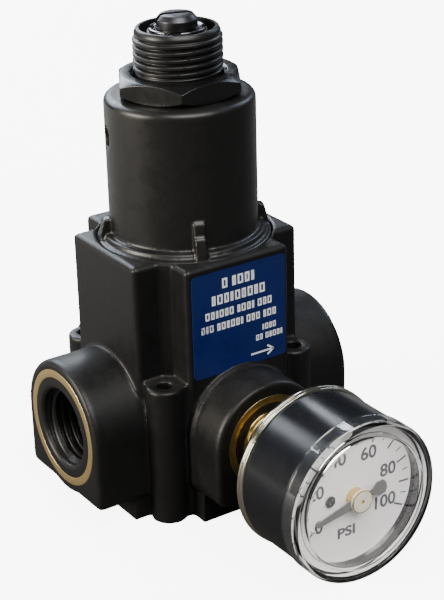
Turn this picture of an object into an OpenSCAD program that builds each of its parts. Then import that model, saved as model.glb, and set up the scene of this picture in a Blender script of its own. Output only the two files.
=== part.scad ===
// Miniature diaphragm air pressure regulator with a one inch dial gauge.
// The origin is on the main axis in the plane of the base. +Z is up, the inlet
// is towards -X, the outlet towards +X and the gauge towards -Y.

/* [Body] */
// Distance between opposite side pads
across_pads = 32.8; // [32.4:0.1:33.4]
// Width of each side pad
pad_w = 20.4; // [19:0.1:21]
// Diameter of the round wall between the pads
wall_d = 31.2; // [30.8:0.1:31.6]
// Height of the moulded body
body_h = 45.8; // [45:0.1:47]
// Height of the corner posts
post_h = 25.1; // [24:0.1:26]
// Distance between the mounting holes
hole_spacing = 26.4; // [26:0.1:26.8]
// Diameter of each mounting hole
hole_d = 2.7; // [2:0.1:3]
// Chamfer on the top edges of the pads
edge_chamfer = 0.6; // [0.2:0.1:1]
// Radius on the upright edges of the pads
edge_radius = 0.9; // [0.4:0.1:1.2]
// Radius round the faces of the port bosses
boss_round = 1.4; // [0.8:0.1:1.5]

/* [Ports] */
// Height of all four port axes above the base
port_z = 15.5; // [15:0.1:16]
// Distance from the main axis to the inlet and outlet faces
port_reach = 26.2; // [25:0.1:28]
// Width of the inlet and outlet bosses
port_boss_w = 24; // [23:0.1:25]
// Height of the underside of the inlet and outlet bosses
port_boss_bottom = 4.1; // [3:0.1:5]
// Major diameter of the inlet and outlet pipe threads
port_thread_d = 13.72; // [13.6:0.01:13.9]
// Depth of the inlet and outlet threads
port_depth = 11; // [10:0.1:11.5]
// Outside diameter of the inlet and outlet reinforcing rings
port_ring_d = 20.9; // [20:0.1:21.4]
// Bore of the inlet and outlet reinforcing rings
port_ring_bore = 17.8; // [17:0.1:18.4]

/* [Gauge ports] */
// Distance from the main axis to the gauge port faces
gauge_port_reach = 24.8; // [24:0.1:25.5]
// Width of the gauge port bosses
gauge_boss_w = 21; // [20:0.1:21.4]
// Major diameter of the gauge port pipe threads
gauge_thread_d = 10.29; // [10.2:0.01:10.4]
// Depth of the gauge port threads
gauge_port_depth = 9; // [8:0.1:9.5]
// Outside diameter of the gauge port reinforcing rings
gauge_ring_d = 16.5; // [16:0.1:17]
// Bore of the gauge port reinforcing rings
gauge_ring_bore = 13.7; // [13.2:0.1:14]

/* [Bonnet] */
// Outside diameter of the bonnet
bonnet_d = 25.5; // [25:0.1:26]
// Height of the bonnet shoulder above the base
bonnet_top = 70.5; // [69.5:0.1:71.5]
// Diameter of the threaded neck
neck_d = 15; // [14.8:0.1:15.2]
// Height of the neck rim above the base
neck_top = 81.5; // [80:0.1:83]
// Bore of the neck
neck_bore = 12.2; // [11.8:0.1:12.4]
// Angle by which the screwed in bonnet is turned
bonnet_turn = -21; // [-45:1:45]
// Thickness of each spanner rib
rib_t = 1.95; // [1.5:0.05:2.5]
// Diameter of the vent hole
vent_d = 3.8; // [2:0.1:4]

/* [Adjusting parts] */
// Distance across the flats of the panel nut
nut_flats = 19.8; // [19:0.1:20.5]
// Thickness of the panel nut
nut_t = 3.5; // [3:0.1:4]
// Diameter of the adjusting screw
screw_d = 6.9; // [6.7:0.1:7.2]
// Height of the adjusting screw's end above the base
screw_top = 83.7; // [83:0.1:85]
// Diameter of the thread that drives the spring nut
drive_thread_d = 6; // [5.5:0.1:6.5]

/* [Valve] */
// Diameter of the orifice in the valve seat
orifice_d = 3.4; // [3:0.1:3.6]
// Diameter of the valve chamber
chamber_d = 12.8; // [12.4:0.1:13]
// Clearance around pieces that are seated in one another
seat_gap = 0.05; // [0.03:0.01:0.08]

/* [Gauge] */
// Diameter of the clear lens cap
lens_d = 27.7; // [27.5:0.1:28]
// Diameter of the painted case
case_d = 26.7; // [26.5:0.1:26.9]
// Distance from the main axis to the back of the gauge
gauge_back = 34.4; // [34:0.1:34.6]
// Distance from the main axis to the dial face
dial_face = 47.1; // [47:0.1:47.4]
// Distance from the main axis to the front of the lens
lens_front = 50.9; // [50.8:0.1:51.5]
// Angle of the zero mark, counted from the right
zero_angle = 207; // [200:1:210]
// Angle of the pointer past the zero mark at rest
pointer_rest = 15; // [0:1:18]

/* [Hidden] */
$fn = 72;

black = [0.07, 0.07, 0.075];
gloss_black = [0.04, 0.04, 0.05];
brass = [0.72, 0.55, 0.25];
steel = [0.62, 0.62, 0.64];
bore_overrun = 0.1;

// Heights inside the body, from the plug up to the bonnet thread
plug_d = 14.8;
plug_top = 6.5;
guide_tube_d = 4.8;
guide_tube_top = 10.5;
guide_bore = 3.3;
seat_bottom = 20;
floor_top = 27;
diaphragm_z = 31;
diaphragm_t = 1;
slip_ring_t = 0.8;
skirt_bottom = diaphragm_z + diaphragm_t + slip_ring_t;
flange_seat = body_h - 1.5;
seat_bore_d = 10;
sensing_d = 21.6;
bonnet_thread_d = 26.8;
flange_d = 30;
recess_d = 30.2;
crossing_r = 8.6;
screen_d = 11.4;
screen_t = 0.5;

// Bonnet and adjusting parts
bonnet_bore = 21.8;
roof_bottom = 68;
guide_sleeve_d = 10;
guide_sleeve_bore = screw_d + 0.1;
guide_sleeve_top = neck_top - 0.6;
key_w = 2;
key_reach = 9.7;
spring_nut_top = 64;
spring_nut_bottom = 58;
spring_nut_d = 20.9;
collar_d = 13;
collar_t = 2;
washer_t = 0.5;
collar_top = roof_bottom - washer_t;
screw_end = 50;
thread_start = bonnet_top + 3.6;
vent_angle = 160;
vent_z = 63.8;

// Diaphragm assembly
plate_bottom = diaphragm_z + diaphragm_t;
plate_t = 1.2;
plate_d = 19.2;
plate_hub_d = 11;
plate_hub_top = plate_bottom + 2.6;
hub_stud_d = 3.8;
hub_bottom = 30;
hub_d = 13;

// Range spring and valve spring
range_wire_d = 2.2;
range_coil_r = 7.2;
range_spring_bottom = plate_bottom + plate_t;
valve_wire_d = 0.7;
valve_coil_r = 3.4;
poppet_bottom = 13;
poppet_d = 8.4;
poppet_seal_t = 0.8;
stem_d = 2;

// Label on the front pad
label_w = 18.7;
label_bottom = 25.9;
label_top = 44.5;
label_t = 0.15;
root_step = 0.35;

// Gauge movement, as distances from the main axis
case_wall = 0.5;
case_front = 49.2;
lens_skirt = 48.3;
window_r = 11.1;
dial_t = 0.4;
dial_d = 25.2;
sector_depth = 42.6;
sector_t = 0.8;
back_plate_depth = 40.6;
front_plate_depth = 44.2;
plate_thickness = 0.6;
pointer_depth = 48.65;
pointer_t = 0.2;
hub_front = 49.5;
shaft_d = 1;
shaft_hole_d = 1.1;
tooth_size = 0.25;
pinion_teeth = 10;
sector_teeth = 56;
pinion_r = pinion_teeth * tooth_size / 2;
sector_r = sector_teeth * tooth_size / 2;
sector_pivot = pinion_r + sector_r;
first_tooth = -8;
last_tooth = 2;
tube_r = 10.6;
tube_t = 1.5;
tube_w = 3.2;
tube_sweep = 249;
tail_r = 2.6;
tail_angle = 250;
link_end = [9.6, 3.8];
screw_a = [-4.8, 0.7];
screw_b = [5, 0.1];
pointer_angle = zero_angle - pointer_rest;

// ---- Shared shapes ----

// A tube along +Z
module ring(outer_d, inner_d, h, z = 0) {
    translate([0, 0, z]) difference() {
        cylinder(d = outer_d, h = h);
        translate([0, 0, -bore_overrun]) cylinder(d = inner_d, h = h + 2 * bore_overrun);
    }
}

// Turns a shape whose +Z leaves the body into the port on side 0 to 3:
// 0 is the outlet (+X), 1 the rear (+Y), 2 the inlet (-X) and 3 the gauge (-Y)
module on_side(side) {
    translate([0, 0, port_z]) rotate([0, 0, 90 * side]) rotate([90, 0, 90]) children();
}

// Gauge pieces are drawn as seen from the front, and +Z leaves the body
module gauge_frame() {
    on_side(3) children();
}

// A straight helix of round wire with the coil's centre line from z0 to z1
module coil(coil_r, wire_d, z0, z1, turns, sides = 8, steps = 20) {
    count = turns * steps;
    points = [for (i = [0 : count]) for (j = [0 : sides - 1])
        let (turn = 360 * i / steps, side = 360 * j / sides,
             r = coil_r + wire_d / 2 * cos(side))
        [r * cos(turn), r * sin(turn),
         z0 + (z1 - z0) * i / count + wire_d / 2 * sin(side)]];
    walls = [for (i = [0 : count - 1]) for (j = [0 : sides - 1])
        let (k = (j + 1) % sides)
        [(i + 1) * sides + j, (i + 1) * sides + k, i * sides + k, i * sides + j]];
    start_cap = [for (j = [0 : sides - 1]) j];
    end_cap = [for (j = [0 : sides - 1]) (count + 1) * sides - 1 - j];
    polyhedron(points = points, faces = concat(walls, [start_cap, end_cap]), convexity = 10);
}

// Corners of one gear tooth centred on an angle
function tooth(r, at, pitch) = [
    for (p = [[-1.3, -0.3], [0, -0.22], [0.8, -0.11], [0.8, 0.11], [0, 0.22], [-1.3, 0.3]])
    (r + p[0] * tooth_size) * [cos(at + p[1] * pitch), sin(at + p[1] * pitch)]
];

// ---- Body ----

// A rectangle round its centre, with rounded corners
module rounded_rectangle(w, h, r) {
    square([w - 2 * r, h], center = true);
    square([w, h - 2 * r], center = true);
    for (x = [r - w / 2, w / 2 - r]) for (y = [r - h / 2, h / 2 - r])
        translate([x, y]) circle(r = r);
}

module chamfered_profile(w) {
    polygon([[-w / 2, 0], [w / 2, 0], [w / 2, body_h - edge_chamfer],
        [w / 2 - edge_chamfer, body_h], [edge_chamfer - w / 2, body_h],
        [-w / 2, body_h - edge_chamfer]]);
}

module pad_bar() {
    intersection() {
        linear_extrude(body_h) rounded_rectangle(across_pads, pad_w, edge_radius);
        rotate([90, 0, 0]) linear_extrude(pad_w, center = true) chamfered_profile(across_pads);
        rotate([90, 0, 90]) linear_extrude(across_pads, center = true) chamfered_profile(pad_w);
    }
}

module corners(d) {
    for (x = [-1, 1]) for (y = [-1, 1])
        translate([x * d / 2, y * d / 2, 0]) children();
}

// Round topped boss outline with straight sides
module boss_outline(w, bottom, corner) {
    circle(d = w);
    translate([-w / 2, bottom - port_z + corner]) square([w, port_z - bottom - corner]);
    translate([corner - w / 2, bottom - port_z]) square([w - 2 * corner, corner + 0.01]);
    for (x = [corner - w / 2, w / 2 - corner])
        translate([x, bottom - port_z + corner]) circle(r = corner);
}

// A port boss whose face has a rounded edge, made in thin steps
module boss(w, bottom, corner, reach) {
    for (a = [0 : 22.5 : 67.5]) {
        inset = boss_round * (1 - cos(a));
        linear_extrude(reach - boss_round * (1 - sin(a + 22.5)))
            boss_outline(w - 2 * inset, bottom + inset, corner - inset / 2);
    }
}

module port_cut(thread_d, depth, reach, ring_d, ring_bore) {
    translate([0, 0, reach - depth]) cylinder(d = thread_d, h = depth + 1);
    translate([0, 0, reach - 0.5]) cylinder(d1 = thread_d, d2 = thread_d + 1.2, h = 0.6);
    ring(ring_d, ring_bore, 3, reach - 2.2);
}

module valve_body() {
    collar_w = port_boss_w - 1;
    collar_reach = 38;
    color(black) difference() {
        union() {
            cylinder(d = wall_d, h = body_h - 0.3);
            cylinder(d = wall_d - 0.4, h = body_h - 0.05);
            pad_bar();
            rotate([0, 0, 90]) pad_bar();
            linear_extrude(post_h) {
                square([wall_d, hole_spacing], center = true);
                square([hole_spacing, wall_d], center = true);
            }
            corners(hole_spacing) {
                cylinder(d = across_pads - hole_spacing, h = post_h - 0.3);
                cylinder(d = across_pads - hole_spacing - 0.6, h = post_h);
            }
            linear_extrude(port_z) {
                square([collar_reach, collar_w], center = true);
                square([gauge_boss_w - 1.2, collar_reach], center = true);
            }
            for (side = [0, 2]) on_side(side)
                boss(port_boss_w, port_boss_bottom, 1.2, port_reach);
            for (side = [1, 3]) on_side(side) {
                boss(gauge_boss_w, 5, 2.5, gauge_port_reach);
                linear_extrude(across_pads / 2 + 0.7)
                    boss_outline(gauge_boss_w + 2 * root_step, 5, 2.5);
            }
        }
        corners(hole_spacing) translate([0, 0, -1]) cylinder(d = hole_d, h = post_h + 2);
        for (side = [0, 2]) on_side(side)
            port_cut(port_thread_d, port_depth, port_reach, port_ring_d, port_ring_bore);
        for (side = [1, 3]) on_side(side)
            port_cut(gauge_thread_d, gauge_port_depth, gauge_port_reach,
                gauge_ring_d, gauge_ring_bore);
        body_bores();
    }
}

// Stepped bore from the base up to the bonnet, and the drilled passages
module body_bores() {
    translate([0, 0, -1]) cylinder(d = plug_d + 2 * seat_gap, h = 8);
    translate([0, 0, 6]) cylinder(d = chamber_d, h = seat_bottom - 5.4);
    translate([0, 0, seat_bottom]) cylinder(d = seat_bore_d, h = 10);
    translate([0, 0, floor_top]) cylinder(d = sensing_d, h = 10);
    translate([0, 0, diaphragm_z]) cylinder(d = bonnet_thread_d, h = 20);
    on_side(2) translate([0, 0, port_reach - port_depth - screen_t - 0.04])
        cylinder(d = screen_d + 0.1, h = 1);
    translate([0, 0, flange_seat]) cylinder(d = recess_d, h = 5);
    translate([-port_reach + port_depth, 0, 13]) rotate([0, 90, 0]) cylinder(d = 6.4, h = 11);
    translate([crossing_r, 0, port_z]) rotate([0, 90, 0]) cylinder(d = 6.4, h = 8);
    for (side = [1, 3]) on_side(side) translate([0, 0, crossing_r]) cylinder(d = 3.2, h = 8);
    for (side = [0, 1, 3]) rotate([0, 0, 90 * side])
        translate([crossing_r, 0, port_z]) cylinder(d = 3, h = floor_top - port_z + 1);
}

// ---- Port rings, plug and label ----

module port_ring() {
    color(brass) ring(port_ring_d - 0.04, port_ring_bore + 0.04, 2.15, port_reach - 2.18);
}

module gauge_ring() {
    color(brass) ring(gauge_ring_d - 0.04, gauge_ring_bore + 0.04, 2.15, gauge_port_reach - 2.18);
}

module inlet_ring() on_side(2) port_ring();
module outlet_ring() on_side(0) port_ring();
module gauge_port_ring() on_side(3) gauge_ring();
module rear_port_ring() on_side(1) gauge_ring();

module rear_port_plug() {
    start = gauge_port_reach - gauge_port_depth + 0.5;
    end = gauge_port_reach - 0.6;
    color(brass) on_side(1) difference() {
        union() {
            translate([0, 0, start]) cylinder(d = gauge_thread_d - 0.08, h = end - start - 0.4);
            translate([0, 0, start]) cylinder(d = gauge_thread_d - 0.9, h = end - start);
        }
        translate([0, 0, end - 4]) cylinder(d = 5.5, h = 5, $fn = 6);
    }
}

module label_plate() {
    corner = 0.8;
    height = label_top - label_bottom;
    color([0.12, 0.23, 0.5]) difference() {
        translate([0, -across_pads / 2, 0]) rotate([90, 0, 0]) linear_extrude(label_t)
            translate([-label_w / 2, label_bottom]) {
                translate([corner, 0]) square([label_w - 2 * corner, height]);
                translate([0, corner]) square([label_w, height - 2 * corner]);
                for (x = [corner, label_w - corner]) for (y = [corner, height - corner])
                    translate([x, y]) circle(r = corner);
            }
        on_side(3) cylinder(d = gauge_boss_w + 2 * root_step + 0.2, h = 30);
    }
}

module inlet_screen() {
    hole_step = 1.7;
    color(steel) on_side(2) translate([0, 0, port_reach - port_depth - screen_t]) difference() {
        cylinder(d = screen_d, h = screen_t);
        for (x = [-2 : 2]) for (y = [-2 : 2])
            if (abs(x) + abs(y) < 4)
                translate([x * hole_step, y * hole_step, -1]) cylinder(d = 1.1, h = 3, $fn = 24);
    }
}

// ---- Bonnet and adjusting parts ----

module bonnet() {
    color(black) difference() {
        union() {
            rotate_extrude($fn = 96) polygon(concat(
                [[0, skirt_bottom], [bonnet_thread_d / 2 - 0.1, skirt_bottom],
                 [bonnet_thread_d / 2 - 0.1, flange_seat], [flange_d / 2, flange_seat],
                 [flange_d / 2, body_h - 0.35], [flange_d / 2 - 0.25, body_h - 0.1],
                 [14.1, body_h - 0.1], [13.85, body_h + 0.75], [13.6, body_h + 0.85],
                 [bonnet_d / 2, body_h + 0.85]],
                [for (a = [0 : 15 : 90]) [bonnet_d / 2 - 1.2 + 1.2 * cos(a),
                    bonnet_top - 1.2 + 1.2 * sin(a)]],
                [[neck_d / 2 - 0.6, bonnet_top], [neck_d / 2 - 0.6, bonnet_top + 0.6],
                 [neck_d / 2 - 0.2, bonnet_top + 1], [neck_d / 2 - 0.2, thread_start],
                 [neck_d / 2, thread_start + 0.2], [neck_d / 2, neck_top - 0.9],
                 [neck_d / 2 - 0.5, neck_top], [0, neck_top]]));
            for (a = [0 : 90 : 180]) rotate([0, 0, a + bonnet_turn]) spanner_rib(false);
            rotate([0, 0, 270 + bonnet_turn]) spanner_rib(true);
        }
        translate([0, 0, skirt_bottom - 1])
            cylinder(d = bonnet_bore, h = roof_bottom - skirt_bottom + 1);
        translate([0, 0, bonnet_top + 1.5]) difference() {
            cylinder(d = neck_bore, h = 20);
            translate([0, 0, -1])
                cylinder(d = guide_sleeve_d, h = guide_sleeve_top - bonnet_top - 0.5);
        }
        translate([0, 0, roof_bottom - 1]) cylinder(d = guide_sleeve_bore, h = 30);
        rotate([0, 0, vent_angle]) translate([8, 0, vent_z]) rotate([0, 90, 0])
            cylinder(d = vent_d, h = 10);
    }
    color(black) for (a = [0, 180]) rotate([0, 0, a])
        translate([key_reach, -key_w / 2, skirt_bottom + 4])
            cube([bonnet_bore / 2 - key_reach + 0.5, key_w, roof_bottom - skirt_bottom - 3.9]);
}

// A stepped rib that a spanner turns the bonnet by; the front one stands taller
module spanner_rib(tall) {
    top = body_h + 6;
    step = body_h + 3.4;
    inner = bonnet_d / 2 - 1;
    outer = bonnet_d / 2 + 2;
    foot = [[inner, body_h - 0.5], [outer, body_h - 0.5], [outer, body_h + 0.4],
        [outer - 0.7, step], [outer - 1.2, step + 0.2]];
    tower = [[outer - 1.5, top - 0.3], [outer - 1.8, top], [inner, top]];
    rotate([90, 0, 0]) linear_extrude(rib_t, center = true)
        polygon(concat(foot, tall ? tower : [[inner, step + 0.2]]));
}

module hexagon_prism(flats, h) {
    cylinder(d = flats / cos(30), h = h, $fn = 6);
}

module panel_nut() {
    z = bonnet_top + 0.05;
    across = nut_flats / cos(30);
    chamfer_h = (across - nut_flats) / 2 * 0.62;
    color(gloss_black) difference() {
        intersection() {
            translate([0, 0, z]) hexagon_prism(nut_flats, nut_t);
            rotate_extrude($fn = 96) polygon([[0, z], [nut_flats / 2 - 0.1, z],
                [across / 2 + 0.05, z + chamfer_h], [across / 2 + 0.05, z + nut_t - chamfer_h],
                [nut_flats / 2 - 0.1, z + nut_t], [0, z + nut_t]]);
        }
        translate([0, 0, z - 1]) cylinder(d = neck_d + 0.1, h = nut_t + 2);
        translate([0, 0, z + nut_t - 0.5])
            cylinder(d1 = neck_d + 0.1, d2 = neck_d + 1.3, h = 0.6);
    }
}

module adjusting_screw() {
    chamfer_h = 0.95;
    groove_bottom = neck_top - 0.57;
    slot_angle = -19;
    color(gloss_black) difference() {
        union() {
            translate([0, 0, screw_end]) cylinder(d = drive_thread_d, h = 20);
            translate([0, 0, collar_top - collar_t]) cylinder(d = collar_d, h = collar_t);
            translate([0, 0, collar_top - 0.1])
                cylinder(d = screw_d, h = screw_top - chamfer_h - collar_top + 0.1);
            translate([0, 0, screw_top - chamfer_h])
                cylinder(d1 = screw_d, d2 = screw_d - 1.2, h = chamfer_h);
        }
        ring(screw_d + 1, screw_d - 0.6, 0.54, groove_bottom);
        rotate([0, 0, slot_angle]) translate([-5, -0.6, screw_top - 2]) cube([10, 1.2, 5]);
    }
}

module screw_retainer() {
    z = neck_top - 0.55;
    gap_w = 1.8;
    gap_angle = -125;
    color(steel) difference() {
        ring(9.5, screw_d - 0.5, 0.5, z);
        for (a = [0 : 90 : 270]) rotate([0, 0, a + gap_angle])
            translate([screw_d / 2 + 0.35, -gap_w / 2, z - 1]) cube([3, gap_w, 3]);
    }
}

module thrust_washer() {
    color(steel) ring(collar_d + 1, screw_d + 0.1, washer_t - 0.04, collar_top + 0.02);
}

module spring_nut() {
    color(brass) difference() {
        union() {
            translate([0, 0, spring_nut_bottom + 2]) cylinder(d = spring_nut_d, h = 4);
            translate([0, 0, spring_nut_bottom]) cylinder(d = 19, h = 3);
            translate([0, 0, spring_nut_bottom - 2]) cylinder(d = 11, h = 4);
        }
        translate([0, 0, spring_nut_bottom - 3]) cylinder(d = drive_thread_d + 0.1, h = 12);
        for (a = [0, 180]) rotate([0, 0, a])
            translate([key_reach - 0.3, -key_w / 2 - 0.3, spring_nut_bottom - 1])
                cube([3, key_w + 0.6, 9]);
    }
}

module range_spring() {
    color(steel) coil(range_coil_r, range_wire_d, range_spring_bottom + range_wire_d / 2 + 0.02,
        spring_nut_bottom - range_wire_d / 2 - 0.02, 7);
}

module slip_ring() {
    color(steel) ring(bonnet_thread_d - 0.4, sensing_d + 0.2, slip_ring_t - 0.04,
        diaphragm_z + diaphragm_t + 0.02);
}

// ---- Diaphragm assembly ----

module diaphragm() {
    color([0.15, 0.15, 0.15]) ring(bonnet_thread_d - 0.2, hub_stud_d + 0.1, diaphragm_t - 0.04,
        diaphragm_z + 0.02);
}

module diaphragm_plate() {
    color(steel) difference() {
        union() {
            translate([0, 0, plate_bottom + 0.02]) cylinder(d = plate_d, h = plate_t - 0.02);
            translate([0, 0, plate_bottom + 0.02])
                cylinder(d = plate_hub_d, h = plate_hub_top - plate_bottom);
        }
        translate([0, 0, plate_bottom - 1]) cylinder(d = hub_stud_d + 0.1, h = 8);
    }
}

module relief_hub() {
    color(brass) difference() {
        union() {
            translate([0, 0, hub_bottom]) cylinder(d = hub_d, h = diaphragm_z - hub_bottom - 0.02);
            translate([0, 0, hub_bottom])
                cylinder(d = hub_stud_d, h = plate_hub_top + 0.8 - hub_bottom);
            translate([0, 0, plate_hub_top + 0.05]) cylinder(d = hub_stud_d + 1.4, h = 0.75);
        }
        translate([0, 0, hub_bottom - 1]) cylinder(d = 1.2, h = 12);
    }
}

// ---- Valve ----

module valve_seat() {
    z = seat_bottom;
    color(brass) rotate_extrude() difference() {
        polygon([[orifice_d / 2, z], [orifice_d / 2 + 0.6, z], [orifice_d / 2 + 1, z + 0.7],
            [seat_bore_d / 2 - seat_gap, z + 0.7], [seat_bore_d / 2 - seat_gap, floor_top],
            [3, floor_top], [2.2, floor_top - 1.5], [orifice_d / 2, floor_top - 1.5]]);
        translate([4.2, z + 3]) square([2, 1.4]);
    }
}

module seat_oring() {
    color(black) rotate_extrude() translate([4.6, seat_bottom + 3.7]) circle(d = 0.76, $fn = 24);
}

module poppet() {
    seal_z = seat_bottom - poppet_seal_t;
    color(brass) {
        translate([0, 0, poppet_bottom - 4.5]) cylinder(d = guide_bore - 0.12, h = 5);
        translate([0, 0, poppet_bottom]) cylinder(d = poppet_d, h = seal_z - poppet_bottom - 0.02);
        translate([0, 0, poppet_bottom]) cylinder(d = stem_d, h = hub_bottom - poppet_bottom - 0.8);
        translate([0, 0, hub_bottom - 0.81]) cylinder(d1 = stem_d, d2 = 1.3, h = 0.76);
    }
}

module poppet_seal() {
    color([0.25, 0.1, 0.08]) ring(7.6, stem_d + 0.06, poppet_seal_t - 0.02,
        seat_bottom - poppet_seal_t);
}

module poppet_spring() {
    color(steel) coil(valve_coil_r, valve_wire_d, plug_top + valve_wire_d / 2 + 0.02,
        poppet_bottom - valve_wire_d / 2 - 0.02, 5, 6);
}

module bottom_plug() {
    spanner_hole_x = 4.2;
    color(black) difference() {
        union() {
            cylinder(d = plug_d, h = plug_top);
            cylinder(d = guide_tube_d, h = guide_tube_top);
        }
        translate([0, 0, 3.5]) cylinder(d = guide_bore, h = 10);
        translate([0, 0, 4]) ring(plug_d + 1, plug_d - 1.6, 1.5);
        for (x = [-1, 1]) translate([x * spanner_hole_x, 0, -1]) cylinder(d = 1.8, h = 3.5);
    }
}

module plug_oring() {
    color(black) rotate_extrude() translate([plug_d / 2 - 0.38, 4.75]) circle(d = 0.82, $fn = 24);
}

// ---- Gauge ----

module gauge_stem() {
    thread_start = gauge_port_reach - gauge_port_depth + 1;
    flats_start = gauge_port_reach + 2.2;
    arm_end = -11.3;
    color(brass) gauge_frame() difference() {
        union() {
            translate([0, 0, thread_start])
                cylinder(d = gauge_thread_d - 0.08, h = flats_start - thread_start);
            translate([0, 0, flats_start]) linear_extrude(gauge_back - 0.2 - flats_start)
                intersection() {
                    square(9.5, center = true);
                    circle(d = 12.4);
                }
            translate([0, 0, gauge_back - 0.5]) cylinder(d = 8, h = 2);
            translate([0, 0, gauge_back + 0.65]) cylinder(d = 10, h = 4);
            translate([-1.6, arm_end, gauge_back + 0.65]) cube([3.2, -arm_end, 4]);
            translate([-1.6, arm_end, gauge_back + 1]) cube([3.2, 1.8, 4]);
        }
        translate([0, 0, thread_start - 1]) cylinder(d = 2.6, h = gauge_back - thread_start + 2);
    }
}

module gauge_case() {
    color(gloss_black) gauge_frame() difference() {
        rotate_extrude($fn = 96) polygon([[0, gauge_back], [case_d / 2 - 0.6, gauge_back],
            [case_d / 2, gauge_back + 0.6], [case_d / 2, case_front], [0, case_front]]);
        translate([0, 0, gauge_back + 0.6]) cylinder(d = case_d - 2 * case_wall, h = 20, $fn = 96);
        translate([0, 0, gauge_back - 1]) cylinder(d = 8.1, h = 5);
    }
}

module gauge_back_ring() {
    color([0.7, 0.7, 0.62]) gauge_frame() rotate_extrude($fn = 96)
        translate([case_d / 2 + 0.02, gauge_back + 0.65]) {
            square([0.38, 1.5]);
            translate([0, 0.25]) square([0.6, 0.8]);
        }
}

module gauge_lens() {
    r = lens_d / 2;
    under = lens_front - 1;
    groove_in = case_d / 2 - case_wall - 0.05;
    groove_out = case_d / 2 + 0.03;
    color([0.9, 0.93, 0.95, 0.35]) gauge_frame() rotate_extrude($fn = 96)
        polygon(concat(
            [[0, under], [window_r, under], [window_r + 0.4, dial_face + 0.05],
             [groove_in, dial_face + 0.05], [groove_in, case_front + 0.1],
             [groove_out, case_front + 0.1], [groove_out, lens_skirt], [r, lens_skirt]],
            [for (a = [0 : 15 : 90]) [r - 0.9 + 0.9 * cos(a), lens_front - 0.9 + 0.9 * sin(a)]],
            [[0, lens_front]]));
}

module gauge_dial() {
    color([0.85, 0.84, 0.85]) gauge_frame() difference() {
        translate([0, 0, dial_face - dial_t]) cylinder(d = dial_d, h = dial_t, $fn = 96);
        translate([0, 0, dial_face - 2]) cylinder(d = 2, h = 4);
        for (p = [screw_a, screw_b]) translate([p[0], p[1], dial_face - 2]) cylinder(d = 1, h = 4);
    }
}

module dial_screws() {
    color(steel) gauge_frame() for (p = [screw_a, screw_b]) translate([p[0], p[1], 0])
        difference() {
            union() {
                translate([0, 0, dial_face - 1.8]) cylinder(d = 0.8, h = 1.9, $fn = 24);
                translate([0, 0, dial_face + 0.02]) cylinder(d = 1.9, h = 0.35, $fn = 36);
            }
            translate([-2, -0.15, dial_face + 0.2]) cube([4, 0.3, 1]);
        }
}

module pointer() {
    blade_r = 8.8;
    root_w = 1.9;
    tail_end = 5.4;
    tail_w = 2.5;
    hub_r = 1.3;
    half = [[-tail_end, 0.5], [-4.9, tail_w / 2], [-3.6, tail_w / 2], [-2.6, 0.55],
        [-1.2, 0.55], for (a = [150 : -30 : 60]) hub_r * [cos(a), sin(a)],
        [1.5, root_w / 2 - 0.1], [blade_r - 0.3, 0.45]];
    color([0.3, 0.3, 0.3]) gauge_frame() rotate([0, 0, pointer_angle])
        translate([0, 0, pointer_depth]) linear_extrude(pointer_t) difference() {
            polygon(concat(half, [[blade_r, 0]],
                [for (i = [len(half) - 1 : -1 : 0]) [half[i][0], -half[i][1]]]));
            circle(d = shaft_d + 0.04);
        }
}

module pointer_shaft() {
    cap_d = 3.9;
    bush_back = dial_face + 0.15;
    pitch = 360 / pinion_teeth;
    color(steel) gauge_frame() {
        translate([0, 0, back_plate_depth - 0.6])
            cylinder(d = shaft_d, h = hub_front - back_plate_depth + 0.4);
        difference() {
            translate([0, 0, pointer_depth + pointer_t + 0.01])
                cylinder(d = cap_d, h = hub_front - pointer_depth - pointer_t - 0.01);
            translate([0, 0, hub_front - 0.15]) cylinder(d = 0.55, h = 1);
        }
        translate([0, 0, bush_back]) cylinder(d = 3.2, h = pointer_depth - bush_back - 0.01);
        translate([0, 0, sector_depth - 0.2]) linear_extrude(1.2)
            polygon([for (k = [0 : pinion_teeth - 1])
                for (p = tooth(pinion_r, 90 + (k + 0.5) * pitch, pitch)) p]);
    }
}

module bourdon_tube() {
    start_angle = -87;
    color([0.75, 0.6, 0.35]) gauge_frame() translate([0, 0, 41])
        rotate([0, 0, start_angle - 6 - tube_sweep]) {
            rotate_extrude(angle = tube_sweep - 3) translate([tube_r, 0]) {
                square([tube_t, tube_w - tube_t], center = true);
                for (y = [-1, 1]) translate([0, y * (tube_w - tube_t) / 2])
                    circle(d = tube_t, $fn = 32);
            }
            translate([tube_r - 1, -1.2, -1.2]) cube([2, 1.6, 2.4]);
        }
}

module plate_outline() {
    neck_w = 2.6;
    translate([-5.9, -5.6]) square([11.8, 8.8]);
    translate([-neck_w / 2, 0]) square([neck_w, sector_pivot]);
    translate([0, sector_pivot]) circle(d = neck_w);
}

module shaft_holes() {
    circle(d = shaft_hole_d);
    translate([0, sector_pivot]) circle(d = shaft_hole_d);
}

module movement_back_plate() {
    pillar_x = 4.7;
    pillar_y = -4.4;
    color(brass) gauge_frame() {
        translate([0, 0, back_plate_depth]) linear_extrude(plate_thickness) difference() {
            plate_outline();
            shaft_holes();
        }
        for (x = [-pillar_x, pillar_x]) translate([x, pillar_y, back_plate_depth])
            cylinder(d = 1.4, h = front_plate_depth - back_plate_depth - 0.02);
        for (x = [-3, 3]) translate([x, -2.6, gauge_back + 4.67])
            cylinder(d = 1.6, h = back_plate_depth - gauge_back - 4.57);
    }
}

module movement_front_plate() {
    color(brass) gauge_frame() {
        translate([0, 0, front_plate_depth]) linear_extrude(plate_thickness) difference() {
            plate_outline();
            shaft_holes();
        }
        for (p = [screw_a, screw_b]) translate([p[0], p[1], front_plate_depth]) difference() {
            cylinder(d = 1.7, h = dial_face - dial_t - front_plate_depth - 0.05);
            translate([0, 0, 1]) cylinder(d = 0.84, h = 5);
        }
    }
}

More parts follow.
